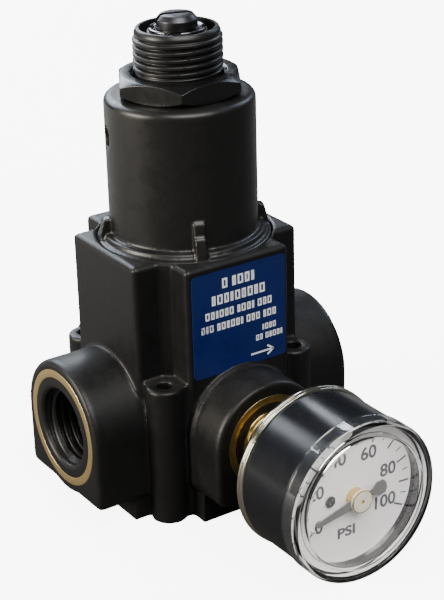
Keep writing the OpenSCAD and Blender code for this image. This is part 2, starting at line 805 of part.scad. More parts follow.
module sector_gear() {
    pitch = 360 / sector_teeth;
    from = -90 + (first_tooth - 0.5) * pitch;
    to = -90 + (last_tooth + 0.5) * pitch;
    root_r = sector_r - 1.3 * tooth_size;
    pin = tail_r * [cos(tail_angle), sin(tail_angle)];
    color(brass) gauge_frame() translate([0, sector_pivot, 0]) {
        translate([0, 0, sector_depth]) linear_extrude(sector_t) {
            polygon(concat([[0, 0]], [root_r * [cos(from), sin(from)]],
                [for (k = [first_tooth : last_tooth])
                    for (p = tooth(sector_r, -90 + k * pitch, pitch)) p],
                [root_r * [cos(to), sin(to)]]));
            circle(d = 2.4);
        }
        translate([0, 0, back_plate_depth - 0.4])
            cylinder(d = shaft_d, h = front_plate_depth - back_plate_depth + 0.8);
        translate([pin[0], pin[1], sector_depth]) cylinder(d = 0.6, h = 1.35, $fn = 24);
    }
}

module tube_link() {
    pin = [0, sector_pivot] + tail_r * [cos(tail_angle), sin(tail_angle)];
    run = link_end - pin;
    length = norm(run);
    color(steel) gauge_frame() translate([pin[0], pin[1], sector_depth + sector_t + 0.12])
        rotate([0, 0, atan2(run[1], run[0])]) linear_extrude(0.3) difference() {
            union() {
                translate([0, -0.3]) square([length, 0.6]);
                circle(d = 1.2, $fn = 36);
                translate([length, 0]) circle(d = 1.1, $fn = 36);
            }
            circle(d = 0.7, $fn = 36);
            translate([length, 0]) circle(d = 0.5, $fn = 24);
        }
}

valve_body();
inlet_ring();
outlet_ring();
gauge_port_ring();
rear_port_ring();
rear_port_plug();
label_plate();
bonnet();
panel_nut();
adjusting_screw();
screw_retainer();
thrust_washer();
spring_nut();
range_spring();
slip_ring();
diaphragm();
diaphragm_plate();
relief_hub();
valve_seat();
seat_oring();
poppet();
poppet_seal();
poppet_spring();
bottom_plug();
plug_oring();
inlet_screen();
gauge_stem();
gauge_case();
gauge_back_ring();
gauge_lens();
gauge_dial();
dial_screws();
pointer();
pointer_shaft();
bourdon_tube();
movement_back_plate();
movement_front_plate();
sector_gear();
tube_link();
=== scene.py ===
import math

import bmesh
import bpy
from mathutils import Matrix, Vector


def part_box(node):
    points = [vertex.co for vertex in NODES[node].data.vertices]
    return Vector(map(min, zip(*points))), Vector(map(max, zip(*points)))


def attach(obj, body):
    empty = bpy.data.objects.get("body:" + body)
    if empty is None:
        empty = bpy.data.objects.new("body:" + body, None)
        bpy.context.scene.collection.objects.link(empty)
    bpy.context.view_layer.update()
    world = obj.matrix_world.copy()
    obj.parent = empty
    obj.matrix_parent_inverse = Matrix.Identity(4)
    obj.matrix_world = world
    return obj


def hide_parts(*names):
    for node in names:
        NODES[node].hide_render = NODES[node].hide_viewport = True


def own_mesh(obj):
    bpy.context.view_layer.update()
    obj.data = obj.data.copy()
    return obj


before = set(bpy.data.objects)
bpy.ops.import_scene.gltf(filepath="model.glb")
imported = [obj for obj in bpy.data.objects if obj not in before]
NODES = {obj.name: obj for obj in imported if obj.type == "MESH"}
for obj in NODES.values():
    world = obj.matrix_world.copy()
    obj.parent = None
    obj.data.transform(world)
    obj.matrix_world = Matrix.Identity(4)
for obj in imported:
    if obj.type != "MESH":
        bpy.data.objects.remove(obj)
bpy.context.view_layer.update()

MM = 0.001

# ---- Places, read from the frame ----


def middle(node):
    low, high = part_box(node)
    return (low + high) / 2


def width_of(node):
    low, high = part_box(node)
    return high.x - low.x


PORT_HEIGHT = middle("inlet_ring").z
NECK_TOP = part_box("bonnet")[1].z
NUT_LOW, NUT_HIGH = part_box("panel_nut")
DIAL_FACE = -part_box("gauge_dial")[0].y
LENS_FRONT = -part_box("gauge_lens")[0].y
LENS_SKIRT = -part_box("gauge_lens")[1].y
LENS_R = width_of("gauge_lens") / 2
CASE_FRONT = -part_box("gauge_case")[0].y
CASE_BACK = -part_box("gauge_case")[1].y
CASE_R = width_of("gauge_case") / 2
BACK_RING_LOW, BACK_RING_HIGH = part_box("gauge_back_ring")
INLET_REACH = -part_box("valve_body")[0].x
GAUGE_REACH = -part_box("gauge_port_ring")[0].y + 0.03 * MM


def port_frame(side):
    """+Z leaves the body through a port: 0 outlet, 1 rear, 2 inlet, 3 gauge."""
    out = Matrix(((0, 0, 1, 0), (1, 0, 0, 0), (0, 1, 0, 0), (0, 0, 0, 1)))
    turn = Matrix.Rotation(math.radians(90 * side), 4, "Z")
    return Matrix.Translation((0, 0, PORT_HEIGHT)) @ turn @ out


OUTLET, REAR, INLET, GAUGE = (port_frame(side) for side in range(4))
UPRIGHT = Matrix.Identity(4)

# ---- Camera, floor and light ----

CAMERA_PLACE = Vector((-143.3, -229.7, 152.2)) * MM
CAMERA_AZIMUTH = math.radians(-33.26)
CAMERA_ELEVATION = math.radians(23.90)
CAMERA_ROLL = math.radians(-1.55)
SENSOR_MM = 36.0
LENS_MM = 101.4


def make_camera():
    """A long lens at the front left, a little above the object."""
    azimuth, elevation, roll = CAMERA_AZIMUTH, CAMERA_ELEVATION, CAMERA_ROLL
    back = Vector((math.sin(azimuth) * math.cos(elevation),
                   -math.cos(azimuth) * math.cos(elevation), math.sin(elevation)))
    level = Vector((math.cos(azimuth), math.sin(azimuth), 0))
    rise = back.cross(level)
    right = level * math.cos(roll) + rise * math.sin(roll)
    up = rise * math.cos(roll) - level * math.sin(roll)
    turn = Matrix((right, up, back)).transposed().to_4x4()
    data = bpy.data.cameras.new("camera")
    data.sensor_width = SENSOR_MM
    data.lens = LENS_MM
    data.clip_start, data.clip_end = 0.01, 20
    camera = bpy.data.objects.new("camera", data)
    camera.matrix_world = Matrix.Translation(CAMERA_PLACE) @ turn
    bpy.context.scene.collection.objects.link(camera)
    bpy.context.scene.camera = camera


def soft_light(name, place, size, watts, colour):
    """A square area light that faces the middle of the object."""
    data = bpy.data.lights.new(name, "AREA")
    data.shape = "RECTANGLE"
    data.size, data.size_y = size
    data.energy = watts
    data.color = colour
    light = bpy.data.objects.new(name, data)
    aim = Vector((0, 0, 0.04)) - Vector(place)
    light.location = place
    light.rotation_euler = aim.to_track_quat("-Z", "Y").to_euler()
    bpy.context.scene.collection.objects.link(light)


def make_studio():
    """Four softboxes round the object, and a dim world."""
    soft_light("back_softbox", (0.03, 0.56, 0.40), (0.56, 0.3), 6.0, (0.86, 0.92, 1.0))
    soft_light("left_softbox", (-0.66, 0.14, 0.24), (0.3, 0.3), 8.8, (1.0, 0.93, 0.82))
    soft_light("right_softbox", (0.60, 0.10, 0.42), (0.2, 0.3), 1.3, (0.72, 0.83, 1.0))
    soft_light("front_softbox", (-0.12, -0.52, 0.70), (0.7, 0.5), 10.5, (1.0, 0.98, 0.96))
    world = bpy.data.worlds.new("studio")
    bpy.context.scene.world = world
    world.use_nodes = True
    background = world.node_tree.nodes["Background"]
    background.inputs["Color"].default_value = (0.9, 0.95, 1.0, 1)
    background.inputs["Strength"].default_value = 0.06


# ---- Node helpers ----


def add_node(tree, kind, sockets=None, **settings):
    """A shader node with its settings and its inputs, which are values or sockets."""
    made = tree.nodes.new(kind)
    for name, value in settings.items():
        setattr(made, name, value)
    for key, value in (sockets or {}).items():
        if isinstance(value, bpy.types.NodeSocket):
            tree.links.new(value, made.inputs[key])
        else:
            made.inputs[key].default_value = value
    return made


def calculate(tree, operation, *values, clamp=False):
    """One step of arithmetic on values or sockets."""
    made = add_node(tree, "ShaderNodeMath", dict(enumerate(values)), operation=operation)
    made.use_clamp = clamp
    return made.outputs[0]


def spread(tree, value, low, high, to_low=0.0, to_high=1.0):
    """Maps a range of values onto another, held at its ends."""
    sockets = {"Value": value, "From Min": low, "From Max": high,
               "To Min": to_low, "To Max": to_high}
    return add_node(tree, "ShaderNodeMapRange", sockets).outputs[0]


def blend_colours(tree, mask, first, second):
    """The first colour where the mask is 0, and the second where it is 1."""
    sockets = {0: mask, 6: first, 7: second}
    return add_node(tree, "ShaderNodeMix", sockets, data_type="RGBA").outputs[2]


def noise(tree, place, scale, detail=2.0, rough=0.5, distortion=0.0):
    """Cloudy noise, its scale in features to the millimetre."""
    sockets = {"Vector": place, "Scale": scale, "Detail": detail,
               "Roughness": rough, "Distortion": distortion}
    return add_node(tree, "ShaderNodeTexNoise", sockets).outputs["Fac"]


def new_group(name, inputs, outputs):
    """An empty node group, with the sockets its material nodes link to."""
    group = bpy.data.node_groups.new(name, "ShaderNodeTree")
    for label, kind, value in inputs:
        socket = group.interface.new_socket(label, in_out="INPUT", socket_type=kind)
        if value is not None:
            socket.default_value = value
    for label, kind in outputs:
        group.interface.new_socket(label, in_out="OUTPUT", socket_type=kind)
    given = group.nodes.new("NodeGroupInput").outputs
    wanted = group.nodes.new("NodeGroupOutput").inputs
    return group, given, wanted


def use_group(tree, name, **sockets):
    """Places a node group, its inputs in plain words with _ for a space."""
    made = tree.nodes.new("ShaderNodeGroup")
    made.node_tree = bpy.data.node_groups[name]
    for key, value in sockets.items():
        socket = made.inputs[key.replace("_", " ")]
        if isinstance(value, bpy.types.NodeSocket):
            tree.links.new(value, socket)
        else:
            socket.default_value = value
    return made.outputs


VECTOR, FLOAT = "NodeSocketVector", "NodeSocketFloat"


def make_place_group():
    """The point on the object, in millimetres, so that every size below is one too."""
    group, _, wanted = new_group("place in mm", [], [("Place", VECTOR)])
    coordinates = add_node(group, "ShaderNodeTexCoord").outputs["Object"]
    scaled = add_node(group, "ShaderNodeVectorMath", {0: coordinates, "Scale": 1 / MM},
                      operation="SCALE")
    group.links.new(scaled.outputs[0], wanted["Place"])


def make_moulding_group():
    """The fine texture that a spark eroded mould leaves, and slow waves of sink."""
    group, given, wanted = new_group(
        "moulded skin",
        [("Place", VECTOR, None), ("Grains per mm", FLOAT, 5.0), ("Depth", FLOAT, 0.5)],
        [("Height", FLOAT), ("Mottle", FLOAT)])
    fine = noise(group, given["Place"], given["Grains per mm"], detail=3.0, rough=0.6)
    slow = noise(group, given["Place"], 0.16, detail=2.0)
    flow = noise(group, given["Place"], 0.7, detail=4.0, rough=0.6, distortion=0.8)
    grain = calculate(group, "MULTIPLY", fine, given["Depth"])
    height = calculate(group, "MULTIPLY_ADD", slow, 1.4, grain)
    mottle = calculate(group, "MULTIPLY_ADD", slow, 0.5, calculate(group, "MULTIPLY", flow, 0.5))
    group.links.new(height, wanted["Height"])
    group.links.new(mottle, wanted["Mottle"])


def make_edge_group():
    """Where handling has rubbed the outer edges, lighter as wear and as painted highlight, and
    where the corners are darkened as painted shade.
    """
    group, given, wanted = new_group(
        "edge wear and highlight, corner shade",
        [("Place", VECTOR, None), ("Reach", FLOAT, 0.06), ("Patchiness", FLOAT, 0.6)],
        [("Rubbed", FLOAT), ("Corner", FLOAT)])
    point = group.nodes.new("ShaderNodeNewGeometry").outputs["Pointiness"]
    high = calculate(group, "ADD", given["Reach"], 0.5)
    # Convex edges: a mask for wear that also stands in as painted highlight.
    edge = spread(group, point, 0.505, high)
    patches = spread(group, noise(group, given["Place"], 0.55, detail=5.0, rough=0.65), 0.42, 0.62)
    kept = calculate(group, "SUBTRACT", 1.0, given["Patchiness"])
    share = calculate(group, "MULTIPLY_ADD", patches, given["Patchiness"], kept)
    low = calculate(group, "SUBTRACT", 0.5, given["Reach"])
    # Concave corners: a mask for painted shade.
    corner = spread(group, point, 0.497, low)
    group.links.new(calculate(group, "MULTIPLY", edge, share), wanted["Rubbed"])
    group.links.new(corner, wanted["Corner"])


def make_dust_group():
    """Fine dust on what faces up, gathered in patches."""
    group, given, wanted = new_group(
        "settled dust", [("Place", VECTOR, None), ("Amount", FLOAT, 0.3)], [("Dust", FLOAT)])
    normal = group.nodes.new("ShaderNodeNewGeometry").outputs["Normal"]
    upward = add_node(group, "ShaderNodeSeparateXYZ", {0: normal}).outputs["Z"]
    facing = spread(group, upward, 0.2, 0.95)
    specks = spread(group, noise(group, given["Place"], 2.6, detail=6.0, rough=0.75), 0.5, 0.74)
    drift = spread(group, noise(group, given["Place"], 0.22, detail=2.0), 0.35, 0.65)
    amount = calculate(group, "MULTIPLY", calculate(group, "MULTIPLY_ADD", drift, 0.5, specks),
                       calculate(group, "MULTIPLY", facing, given["Amount"]))
    group.links.new(amount, wanted["Dust"])


def make_handling_group():
    """Faint finger marks and hair scratches, for roughness."""
    group, given, wanted = new_group(
        "handling marks", [("Place", VECTOR, None)], [("Smudge", FLOAT), ("Scratch", FLOAT)])
    clouds = noise(group, given["Place"], 0.3, detail=3.0, distortion=1.2)
    smudge = spread(group, clouds, 0.42, 0.66)
    tilted = add_node(group, "ShaderNodeMapping",
                      {"Vector": given["Place"], "Rotation": (0.5, 0.8, 0.4),
                       "Scale": (0.12, 4.5, 4.5)}).outputs[0]
    lines = noise(group, tilted, 1.0, detail=1.0)
    scratch = spread(group, lines, 0.7, 0.76)
    group.links.new(smudge, wanted["Smudge"])
    group.links.new(scratch, wanted["Scratch"])


def make_turning_group():
    """Rings that a lathe tool leaves round an axis."""
    group, given, wanted = new_group(
        "turned rings",
        [("Place", VECTOR, None), ("Centre", VECTOR, (0, 0, 0)), ("Axis", VECTOR, (0, 0, 1)),
         ("Rings per mm", FLOAT, 5.0)],
        [("Height", FLOAT)])
    from_centre = add_node(group, "ShaderNodeVectorMath",
                           {0: given["Place"], 1: given["Centre"]}, operation="SUBTRACT")
    across = add_node(group, "ShaderNodeVectorMath",
                      {0: from_centre.outputs[0], 1: given["Axis"]}, operation="CROSS_PRODUCT")
    distance = add_node(group, "ShaderNodeVectorMath", {0: across.outputs[0]},
                        operation="LENGTH").outputs["Value"]
    along = add_node(group, "ShaderNodeVectorMath",
                     {0: from_centre.outputs[0], 1: given["Axis"]},
                     operation="DOT_PRODUCT").outputs["Value"]
    both = add_node(group, "ShaderNodeCombineXYZ", {0: distance, 1: along}).outputs[0]
    rings = noise(group, both, given["Rings per mm"], detail=3.0, rough=0.7)
    group.links.new(rings, wanted["Height"])


# ---- Materials ----


def new_material(name):
    """An empty Principled material, and where on the object it is."""
    material = bpy.data.materials.new(name)
    material.use_nodes = True
    tree = material.node_tree
    shader = tree.nodes["Principled BSDF"]
    place = use_group(tree, "place in mm")["Place"]
    return material, tree, shader, place


def connect(tree, shader, **sockets):
    """Sets the shader's inputs, by plain words with _ for a space."""
    for key, value in sockets.items():
        socket = shader.inputs[key.replace("_", " ")]
        if isinstance(value, bpy.types.NodeSocket):
            tree.links.new(value, socket)
        else:
            socket.default_value = value


def bumped(tree, height, distance_mm):
    """The surface's normal over a height, whose full range stands so far proud."""
    sockets = {"Height": height, "Distance": distance_mm * MM, "Strength": 1.0}
    return add_node(tree, "ShaderNodeBump", sockets).outputs[0]


def shade(level, warmth=0.0):
    """A near grey, a little warm or cold."""
    return (level * (1 + warmth), level, level * (1 - warmth), 1)


def moulded_plastic(name, level, roughness, grains, grain_mm, dust, warmth=0.0, gloss=0.5):
    """Black filled plastic, satin, lighter on its edges as wear and as painted highlight, and
    darker in its corners as painted shade.
    """
    material, tree, shader, place = new_material(name)
    skin = use_group(tree, "moulded skin", Place=place, Grains_per_mm=grains, Depth=0.35)
    edges = use_group(tree, "edge wear and highlight, corner shade", Place=place)
    settled = use_group(tree, "settled dust", Place=place, Amount=dust)["Dust"]
    marks = use_group(tree, "handling marks", Place=place)
    colour = blend_colours(tree, skin["Mottle"], shade(level * 0.75, warmth),
                           shade(level * 1.3, warmth))
    # Edges painted lighter, partly wear and partly painted highlight.
    colour = blend_colours(tree, calculate(tree, "MULTIPLY", edges["Rubbed"], 0.22), colour,
                           shade(level * 3.2, 0.03))
    # Corners painted darker as painted shade.
    colour = blend_colours(tree, calculate(tree, "MULTIPLY", edges["Corner"], 0.6), colour,
                           shade(level * 0.5, 0.05))
    colour = blend_colours(tree, settled, colour, shade(0.22, 0.04))
    rough = calculate(tree, "MULTIPLY_ADD", skin["Mottle"], 0.16, roughness - 0.08)
    rough = calculate(tree, "MULTIPLY_ADD", marks["Smudge"], -0.06, rough)
    rough = calculate(tree, "MULTIPLY_ADD", marks["Scratch"], 0.12, rough)
    rough = calculate(tree, "MULTIPLY_ADD", settled, 0.5, rough, clamp=True)
    connect(tree, shader, Base_Color=colour, Roughness=rough, IOR=1.5, Specular_IOR_Level=gloss,
            Normal=bumped(tree, skin["Height"], grain_mm))
    return material


def metal(name, bright, dull, roughness, centre=(0, 0, 0), axis=(0, 0, 1), rings=4.0,
          ring_mm=0.006, tarnish=0.5, metallic=1.0):
    """Turned metal that has dulled in patches."""
    material, tree, shader, place = new_material(name)
    turned = use_group(tree, "turned rings", Place=place, Centre=centre, Axis=axis,
                       Rings_per_mm=rings)
    marks = use_group(tree, "handling marks", Place=place)
    patches = spread(tree, noise(tree, place, 0.9, detail=6.0, rough=0.7), 0.38, 0.68)
    dulled = calculate(tree, "MULTIPLY", patches, tarnish)
    colour = blend_colours(tree, dulled, bright, dull)
    colour = blend_colours(tree, calculate(tree, "MULTIPLY", turned["Height"], 0.3), colour, dull)
    rough = calculate(tree, "MULTIPLY_ADD", dulled, 0.25, roughness)
    rough = calculate(tree, "MULTIPLY_ADD", marks["Scratch"], 0.1, rough, clamp=True)
    connect(tree, shader, Base_Color=colour, Metallic=metallic, Roughness=rough,
            Normal=bumped(tree, turned["Height"], ring_mm))
    return material


def rubber(name, colour_low, colour_high):
    """Moulded black rubber, dull and a little uneven."""
    material, tree, shader, place = new_material(name)
    skin = use_group(tree, "moulded skin", Place=place, Grains_per_mm=7.0, Depth=0.6)
    colour = blend_colours(tree, skin["Mottle"], colour_low, colour_high)
    rough = calculate(tree, "MULTIPLY_ADD", skin["Mottle"], 0.2, 0.6)
    connect(tree, shader, Base_Color=colour, Roughness=rough, IOR=1.52,
            Normal=bumped(tree, skin["Height"], 0.02))
    return material


def spring_wire(name):
    """Drawn wire with its faint lengthwise lines."""
    material, tree, shader, place = new_material(name)
    lines = noise(tree, place, 3.0, detail=5.0, rough=0.8, distortion=1.5)
    colour = blend_colours(tree, lines, (0.32, 0.31, 0.3, 1), (0.62, 0.6, 0.57, 1))
    rough = calculate(tree, "MULTIPLY_ADD", lines, 0.25, 0.2)
    connect(tree, shader, Base_Color=colour, Metallic=1.0, Roughness=rough,
            Normal=bumped(tree, lines, 0.008))
    return material


def label_film(name):
    """Blue lacquer film with a thin gloss, scuffed."""
    material, tree, shader, place = new_material(name)
    marks = use_group(tree, "handling marks", Place=place)
    dots = noise(tree, place, 9.0, detail=2.0)
    cloud = noise(tree, place, 0.25, detail=3.0)
    colour = blend_colours(tree, cloud, (0.002, 0.007, 0.062, 1), (0.003, 0.014, 0.11, 1))
    colour = blend_colours(tree, spread(tree, dots, 0.62, 0.75, 0.0, 0.25), colour,
                           (0.02, 0.07, 0.22, 1))
    colour = blend_colours(tree, calculate(tree, "MULTIPLY", marks["Scratch"], 0.12), colour,
                           (0.05, 0.09, 0.24, 1))
    rough = calculate(tree, "MULTIPLY_ADD", marks["Smudge"], 0.12, 0.3)
    rough = calculate(tree, "MULTIPLY_ADD", marks["Scratch"], 0.08, rough)
    connect(tree, shader, Base_Color=colour, Roughness=rough, IOR=1.5,
            Normal=bumped(tree, calculate(tree, "ADD", dots, cloud), 0.01))
    return material


def label_print(name):
    """White ink that has rubbed away towards the lower left of the label."""
    material, tree, shader, place = new_material(name)
    parts = add_node(tree, "ShaderNodeSeparateXYZ", {0: place}).outputs
    corner = calculate(tree, "ADD", spread(tree, parts["X"], -9.0, 3.0, 0.0, 0.7),
                       spread(tree, parts["Z"], 26.0, 38.0, 0.0, 0.6))
    wear = noise(tree, place, 1.6, detail=6.0, rough=0.7)
    left = spread(tree, calculate(tree, "ADD", corner, wear), 0.85, 1.15)
    colour = blend_colours(tree, left, (0.01, 0.03, 0.11, 1), (0.88, 0.9, 0.92, 1))
    connect(tree, shader, Base_Color=colour,
            Roughness=calculate(tree, "MULTIPLY_ADD", wear, 0.2, 0.35),
            Normal=bumped(tree, wear, 0.01))
    return material


def case_paint(name):
    """Black stoved paint with a fine crinkle that sparkles."""
    material, tree, shader, place = new_material(name)
    crinkle = noise(tree, place, 5.5, detail=3.0, rough=0.65)
    fine = noise(tree, place, 12.0, detail=2.0)
    marks = use_group(tree, "handling marks", Place=place)
    height = calculate(tree, "MULTIPLY_ADD", fine, 0.5, crinkle)
    colour = blend_colours(tree, crinkle, (0.002, 0.0025, 0.004, 1), (0.004, 0.005, 0.008, 1))
    rough = calculate(tree, "MULTIPLY_ADD", crinkle, 0.14, 0.16)
    rough = calculate(tree, "MULTIPLY_ADD", marks["Smudge"], 0.02, rough)
    connect(tree, shader, Base_Color=colour, Roughness=rough, IOR=1.52,
            Normal=bumped(tree, height, 0.005))
    return material


def clear_plastic(name, tint):
    """Clear acrylic. Lamps shine through it, so that it casts no black shadow."""
    material, tree, shader, place = new_material(name)
    marks = use_group(tree, "handling marks", Place=place)
    rough = calculate(tree, "MULTIPLY_ADD", marks["Scratch"], 0.06, 0.015)
    rough = calculate(tree, "MULTIPLY_ADD", marks["Smudge"], 0.015, rough)
    ripple = noise(tree, place, 0.5, detail=2.0)
    connect(tree, shader, Base_Color=tint, Roughness=rough, IOR=1.49,
            Normal=bumped(tree, ripple, 0.01))
    shader.inputs["Transmission Weight"].default_value = 1.0
    clear = add_node(tree, "ShaderNodeBsdfTransparent", {"Color": tint})
    path = tree.nodes.new("ShaderNodeLightPath")
    mixed = add_node(tree, "ShaderNodeMixShader",
                     {0: path.outputs["Is Shadow Ray"], 1: shader.outputs[0],
                      2: clear.outputs[0]})
    tree.links.new(mixed.outputs[0], tree.nodes["Material Output"].inputs["Surface"])
    return material


def dial_paint(name):
    """Pale silver lilac dial paint, flat, with a fine tooth and a little yellowing."""
    material, tree, shader, place = new_material(name)
    tooth = noise(tree, place, 8.0, detail=3.0)
    cloud = noise(tree, place, 0.2, detail=2.0)
    colour = blend_colours(tree, cloud, (0.84, 0.81, 0.83, 1), (0.92, 0.89, 0.90, 1))
    colour = blend_colours(tree, spread(tree, tooth, 0.45, 0.8, 0.0, 0.3), colour,
                           (0.74, 0.71, 0.73, 1))
    connect(tree, shader, Base_Color=colour,
            Roughness=calculate(tree, "MULTIPLY_ADD", tooth, 0.2, 0.4),
            Normal=bumped(tree, tooth, 0.008))
    return material


def flat_ink(name, dark, light, roughness):
    """Printed ink or thin paint whose cover varies a little."""
    material, tree, shader, place = new_material(name)
    cover = noise(tree, place, 6.0, detail=4.0, rough=0.65)
    connect(tree, shader, Base_Color=blend_colours(tree, cover, dark, light),
            Roughness=calculate(tree, "MULTIPLY_ADD", cover, 0.2, roughness),
            Normal=bumped(tree, cover, 0.006))
    return material


FLOOR_GLOW = 7.0


def floor_finish(name):
    """Plain pale floor with the faintest mottle, glowing evenly to the camera. It lights the
    object less than it looks: to the object it is painted dark in front and paler behind, as
    painted shade and light in its reflections.
    """
    material, tree, shader, place = new_material(name)
    cloud = noise(tree, place, 0.02, detail=2.0)
    seen = tree.nodes.new("ShaderNodeLightPath").outputs["Is Camera Ray"]
    pale = blend_colours(tree, cloud, (0.92, 0.92, 0.92, 1), (0.95, 0.95, 0.95, 1))
    parts = add_node(tree, "ShaderNodeSeparateXYZ", {0: place}).outputs
    # What the object sees of the floor: painted shade in front, painted light behind, for its
    # reflections.
    behind = spread(tree, parts["Y"], 0.0, 350.0)
    dim = blend_colours(tree, behind, (0.05, 0.048, 0.045, 1), (0.55, 0.53, 0.50, 1))
    colour = blend_colours(tree, seen, dim, pale)
    connect(tree, shader, Base_Color=colour, Roughness=0.9, Emission_Color=pale,
            Emission_Strength=calculate(tree, "MULTIPLY", seen, FLOOR_GLOW))
    return material


def make_materials():
    """Every finish, by the name of its slot in the record, and a few prints."""
    gauge_axis = {"centre": (0, 0, PORT_HEIGHT / MM), "axis": (0, 1, 0)}
    port_axis = {"centre": (0, 0, PORT_HEIGHT / MM), "axis": (1, 0, 0)}
    gold, brown = (0.80, 0.62, 0.30, 1), (0.36, 0.25, 0.10, 1)
    yellow = (0.78, 0.60, 0.25, 1)
    return {
        "body_plastic": moulded_plastic("body_plastic", 0.0045, 0.44, 4.0, 0.03, 0.05,
                                        gloss=0.3),
        "bonnet_plastic": moulded_plastic("bonnet_plastic", 0.005, 0.40, 5.0, 0.02, 0.04, 0.02,
                                          gloss=0.43),
        "nut_black": moulded_plastic("nut_black", 0.0045, 0.28, 6.0, 0.006, 0.0, -0.03),
        "ring_brass": metal("ring_brass", gold, brown, 0.34, rings=6.0, tarnish=0.55,
                            **port_axis),
        "gauge_ring_brass": metal("gauge_ring_brass", (0.55, 0.44, 0.2, 1),
                                  (0.2, 0.14, 0.06, 1), 0.3, rings=6.0, tarnish=0.5,
                                  **gauge_axis),
        "valve_brass": metal("valve_brass", yellow, brown, 0.2, rings=5.0, tarnish=0.25,
                             **gauge_axis),
        "movement_brass": metal("movement_brass", yellow, brown, 0.25, tarnish=0.15,
                                **gauge_axis),
        "tube_bronze": metal("tube_bronze", (0.72, 0.45, 0.24, 1), brown, 0.25, tarnish=0.3,
                             **gauge_axis),
        "screw_steel": metal("screw_steel", (0.07, 0.07, 0.075, 1), (0.028, 0.028, 0.03, 1),
                             0.36, rings=3.0, ring_mm=0.003, tarnish=0.5),
        "ring_steel": metal("ring_steel", (0.22, 0.22, 0.23, 1), (0.10, 0.10, 0.105, 1),
                            0.2, rings=2.0, ring_mm=0.002, tarnish=0.3),
        "bright_steel": metal("bright_steel", (0.62, 0.62, 0.63, 1), (0.33, 0.31, 0.3, 1),
                              0.22, tarnish=0.35),
        "plate_aluminium": metal("plate_aluminium", (0.75, 0.75, 0.76, 1),
                                 (0.5, 0.5, 0.5, 1), 0.35, tarnish=0.3),
        "case_ring": metal("case_ring", (0.80, 0.77, 0.66, 1), (0.5, 0.46, 0.33, 1), 0.14,
                           rings=2.0, ring_mm=0.003, tarnish=0.3, **gauge_axis),
        "hub_metal": metal("hub_metal", (0.88, 0.83, 0.70, 1), (0.6, 0.54, 0.42, 1), 0.35,
                           rings=6.0, tarnish=0.3, metallic=0.25, **gauge_axis),
        "spring_steel": spring_wire("spring_steel"),
        "seal_rubber": rubber("seal_rubber", (0.012, 0.012, 0.012, 1), (0.03, 0.03, 0.03, 1)),
        "label_film": label_film("label_film"),
        "label_print": label_print("label_print"),
        "case_paint": case_paint("case_paint"),
        "lens_clear": clear_plastic("lens_clear", (0.985, 0.99, 0.985, 1)),
        "dial_white": dial_paint("dial_white"),
        "dial_ink": flat_ink("dial_ink", (0.07, 0.07, 0.075, 1), (0.13, 0.13, 0.14, 1), 0.5),
        "pointer_gray": flat_ink("pointer_gray", (0.11, 0.11, 0.11, 1),
                                 (0.19, 0.19, 0.19, 1), 0.4),
    }


# ---- Mesh helpers ----


ARC_STEPS = 4
WELD = 0.0005 * MM


def rounded(corners, closed=True):
    """Turns corners, each (x, y, rounding), into an outline with arcs."""
    points = []
    for index, (x, y, rounding) in enumerate(corners):
        here = Vector((x, y))
        if rounding == 0 or (not closed and index in (0, len(corners) - 1)):
            points.append((x, y))
            continue
        before = (Vector(corners[index - 1][:2]) - here).normalized()
        after = (Vector(corners[(index + 1) % len(corners)][:2]) - here).normalized()
        half = before.angle(after) / 2
        centre = here + (before + after).normalized() * rounding / math.sin(half)
        start = here + before * rounding / math.tan(half) - centre
        end = here + after * rounding / math.tan(half) - centre
        for step in range(ARC_STEPS + 1):
            along = start.lerp(end, step / ARC_STEPS).normalized() * rounding
            points.append(tuple(centre + along))
    return points


def turned_mesh(name, outline_at, place=UPRIGHT, steps=180):
    """Spins an outline of (radius, height) points in mm, which may change with the angle.
    An outline that starts and ends on the axis is open, and any other is closed."""
    verts, columns, poles = [], [], {}
    for step in range(steps):
        angle = math.tau * step / steps
        column = []
        for index, (radius, height) in enumerate(outline_at(angle)):
            if index in poles:
                column.append(poles[index])
                continue
            if radius == 0:
                poles[index] = len(verts)
            column.append(len(verts))
            point = Vector((radius * math.cos(angle), radius * math.sin(angle), height)) * MM
            verts.append(place @ point)
        columns.append(column)
    count = len(columns[0])
    links = count - 1 if poles else count
    faces = []
    for step in range(steps):
        here, there = columns[step], columns[(step + 1) % steps]
        for first in range(links):
            second = (first + 1) % count
            corners = [here[first], there[first], there[second], here[second]]
            faces.append(list(dict.fromkeys(corners)))
    return solid_mesh(name, verts, faces)


def solid_mesh(name, verts, faces):
    """A mesh whose faces all look outwards."""
    mesh = bpy.data.meshes.new(name)
    mesh.from_pydata(verts, [], faces)
    solid = bmesh.new()
    solid.from_mesh(mesh)
    bmesh.ops.recalc_face_normals(solid, faces=solid.faces)
    solid.to_mesh(mesh)
    solid.free()
    return mesh


def block_mesh(name, places):
    """Unit cubes, each turned, moved and stretched by its matrix."""
    blocks = bmesh.new()
    for place in places:
        bmesh.ops.create_cube(blocks, size=1, matrix=place)
    mesh = bpy.data.meshes.new(name)
    blocks.to_mesh(mesh)
    blocks.free()
    return mesh


def joined_mesh(name, meshes):
    """One welded mesh of several."""
    whole = bmesh.new()
    for mesh in meshes:
        whole.from_mesh(mesh)
    bmesh.ops.remove_doubles(whole, verts=whole.verts, dist=WELD)
    mesh = bpy.data.meshes.new(name)
    whole.to_mesh(mesh)
    whole.free()
    return mesh


def with_modifiers(mesh, *modifiers):
    """The mesh after some modifiers, each (kind, settings)."""
    working = bpy.data.objects.new(mesh.name, mesh)
    bpy.context.scene.collection.objects.link(working)
    for kind, settings in modifiers:
        modifier = working.modifiers.new(kind.lower(), kind)
        for key, value in settings.items():
            setattr(modifier, key, value)
    graph = bpy.context.evaluated_depsgraph_get()
    result = bpy.data.meshes.new_from_object(working.evaluated_get(graph))
    bpy.data.objects.remove(working)
    return result


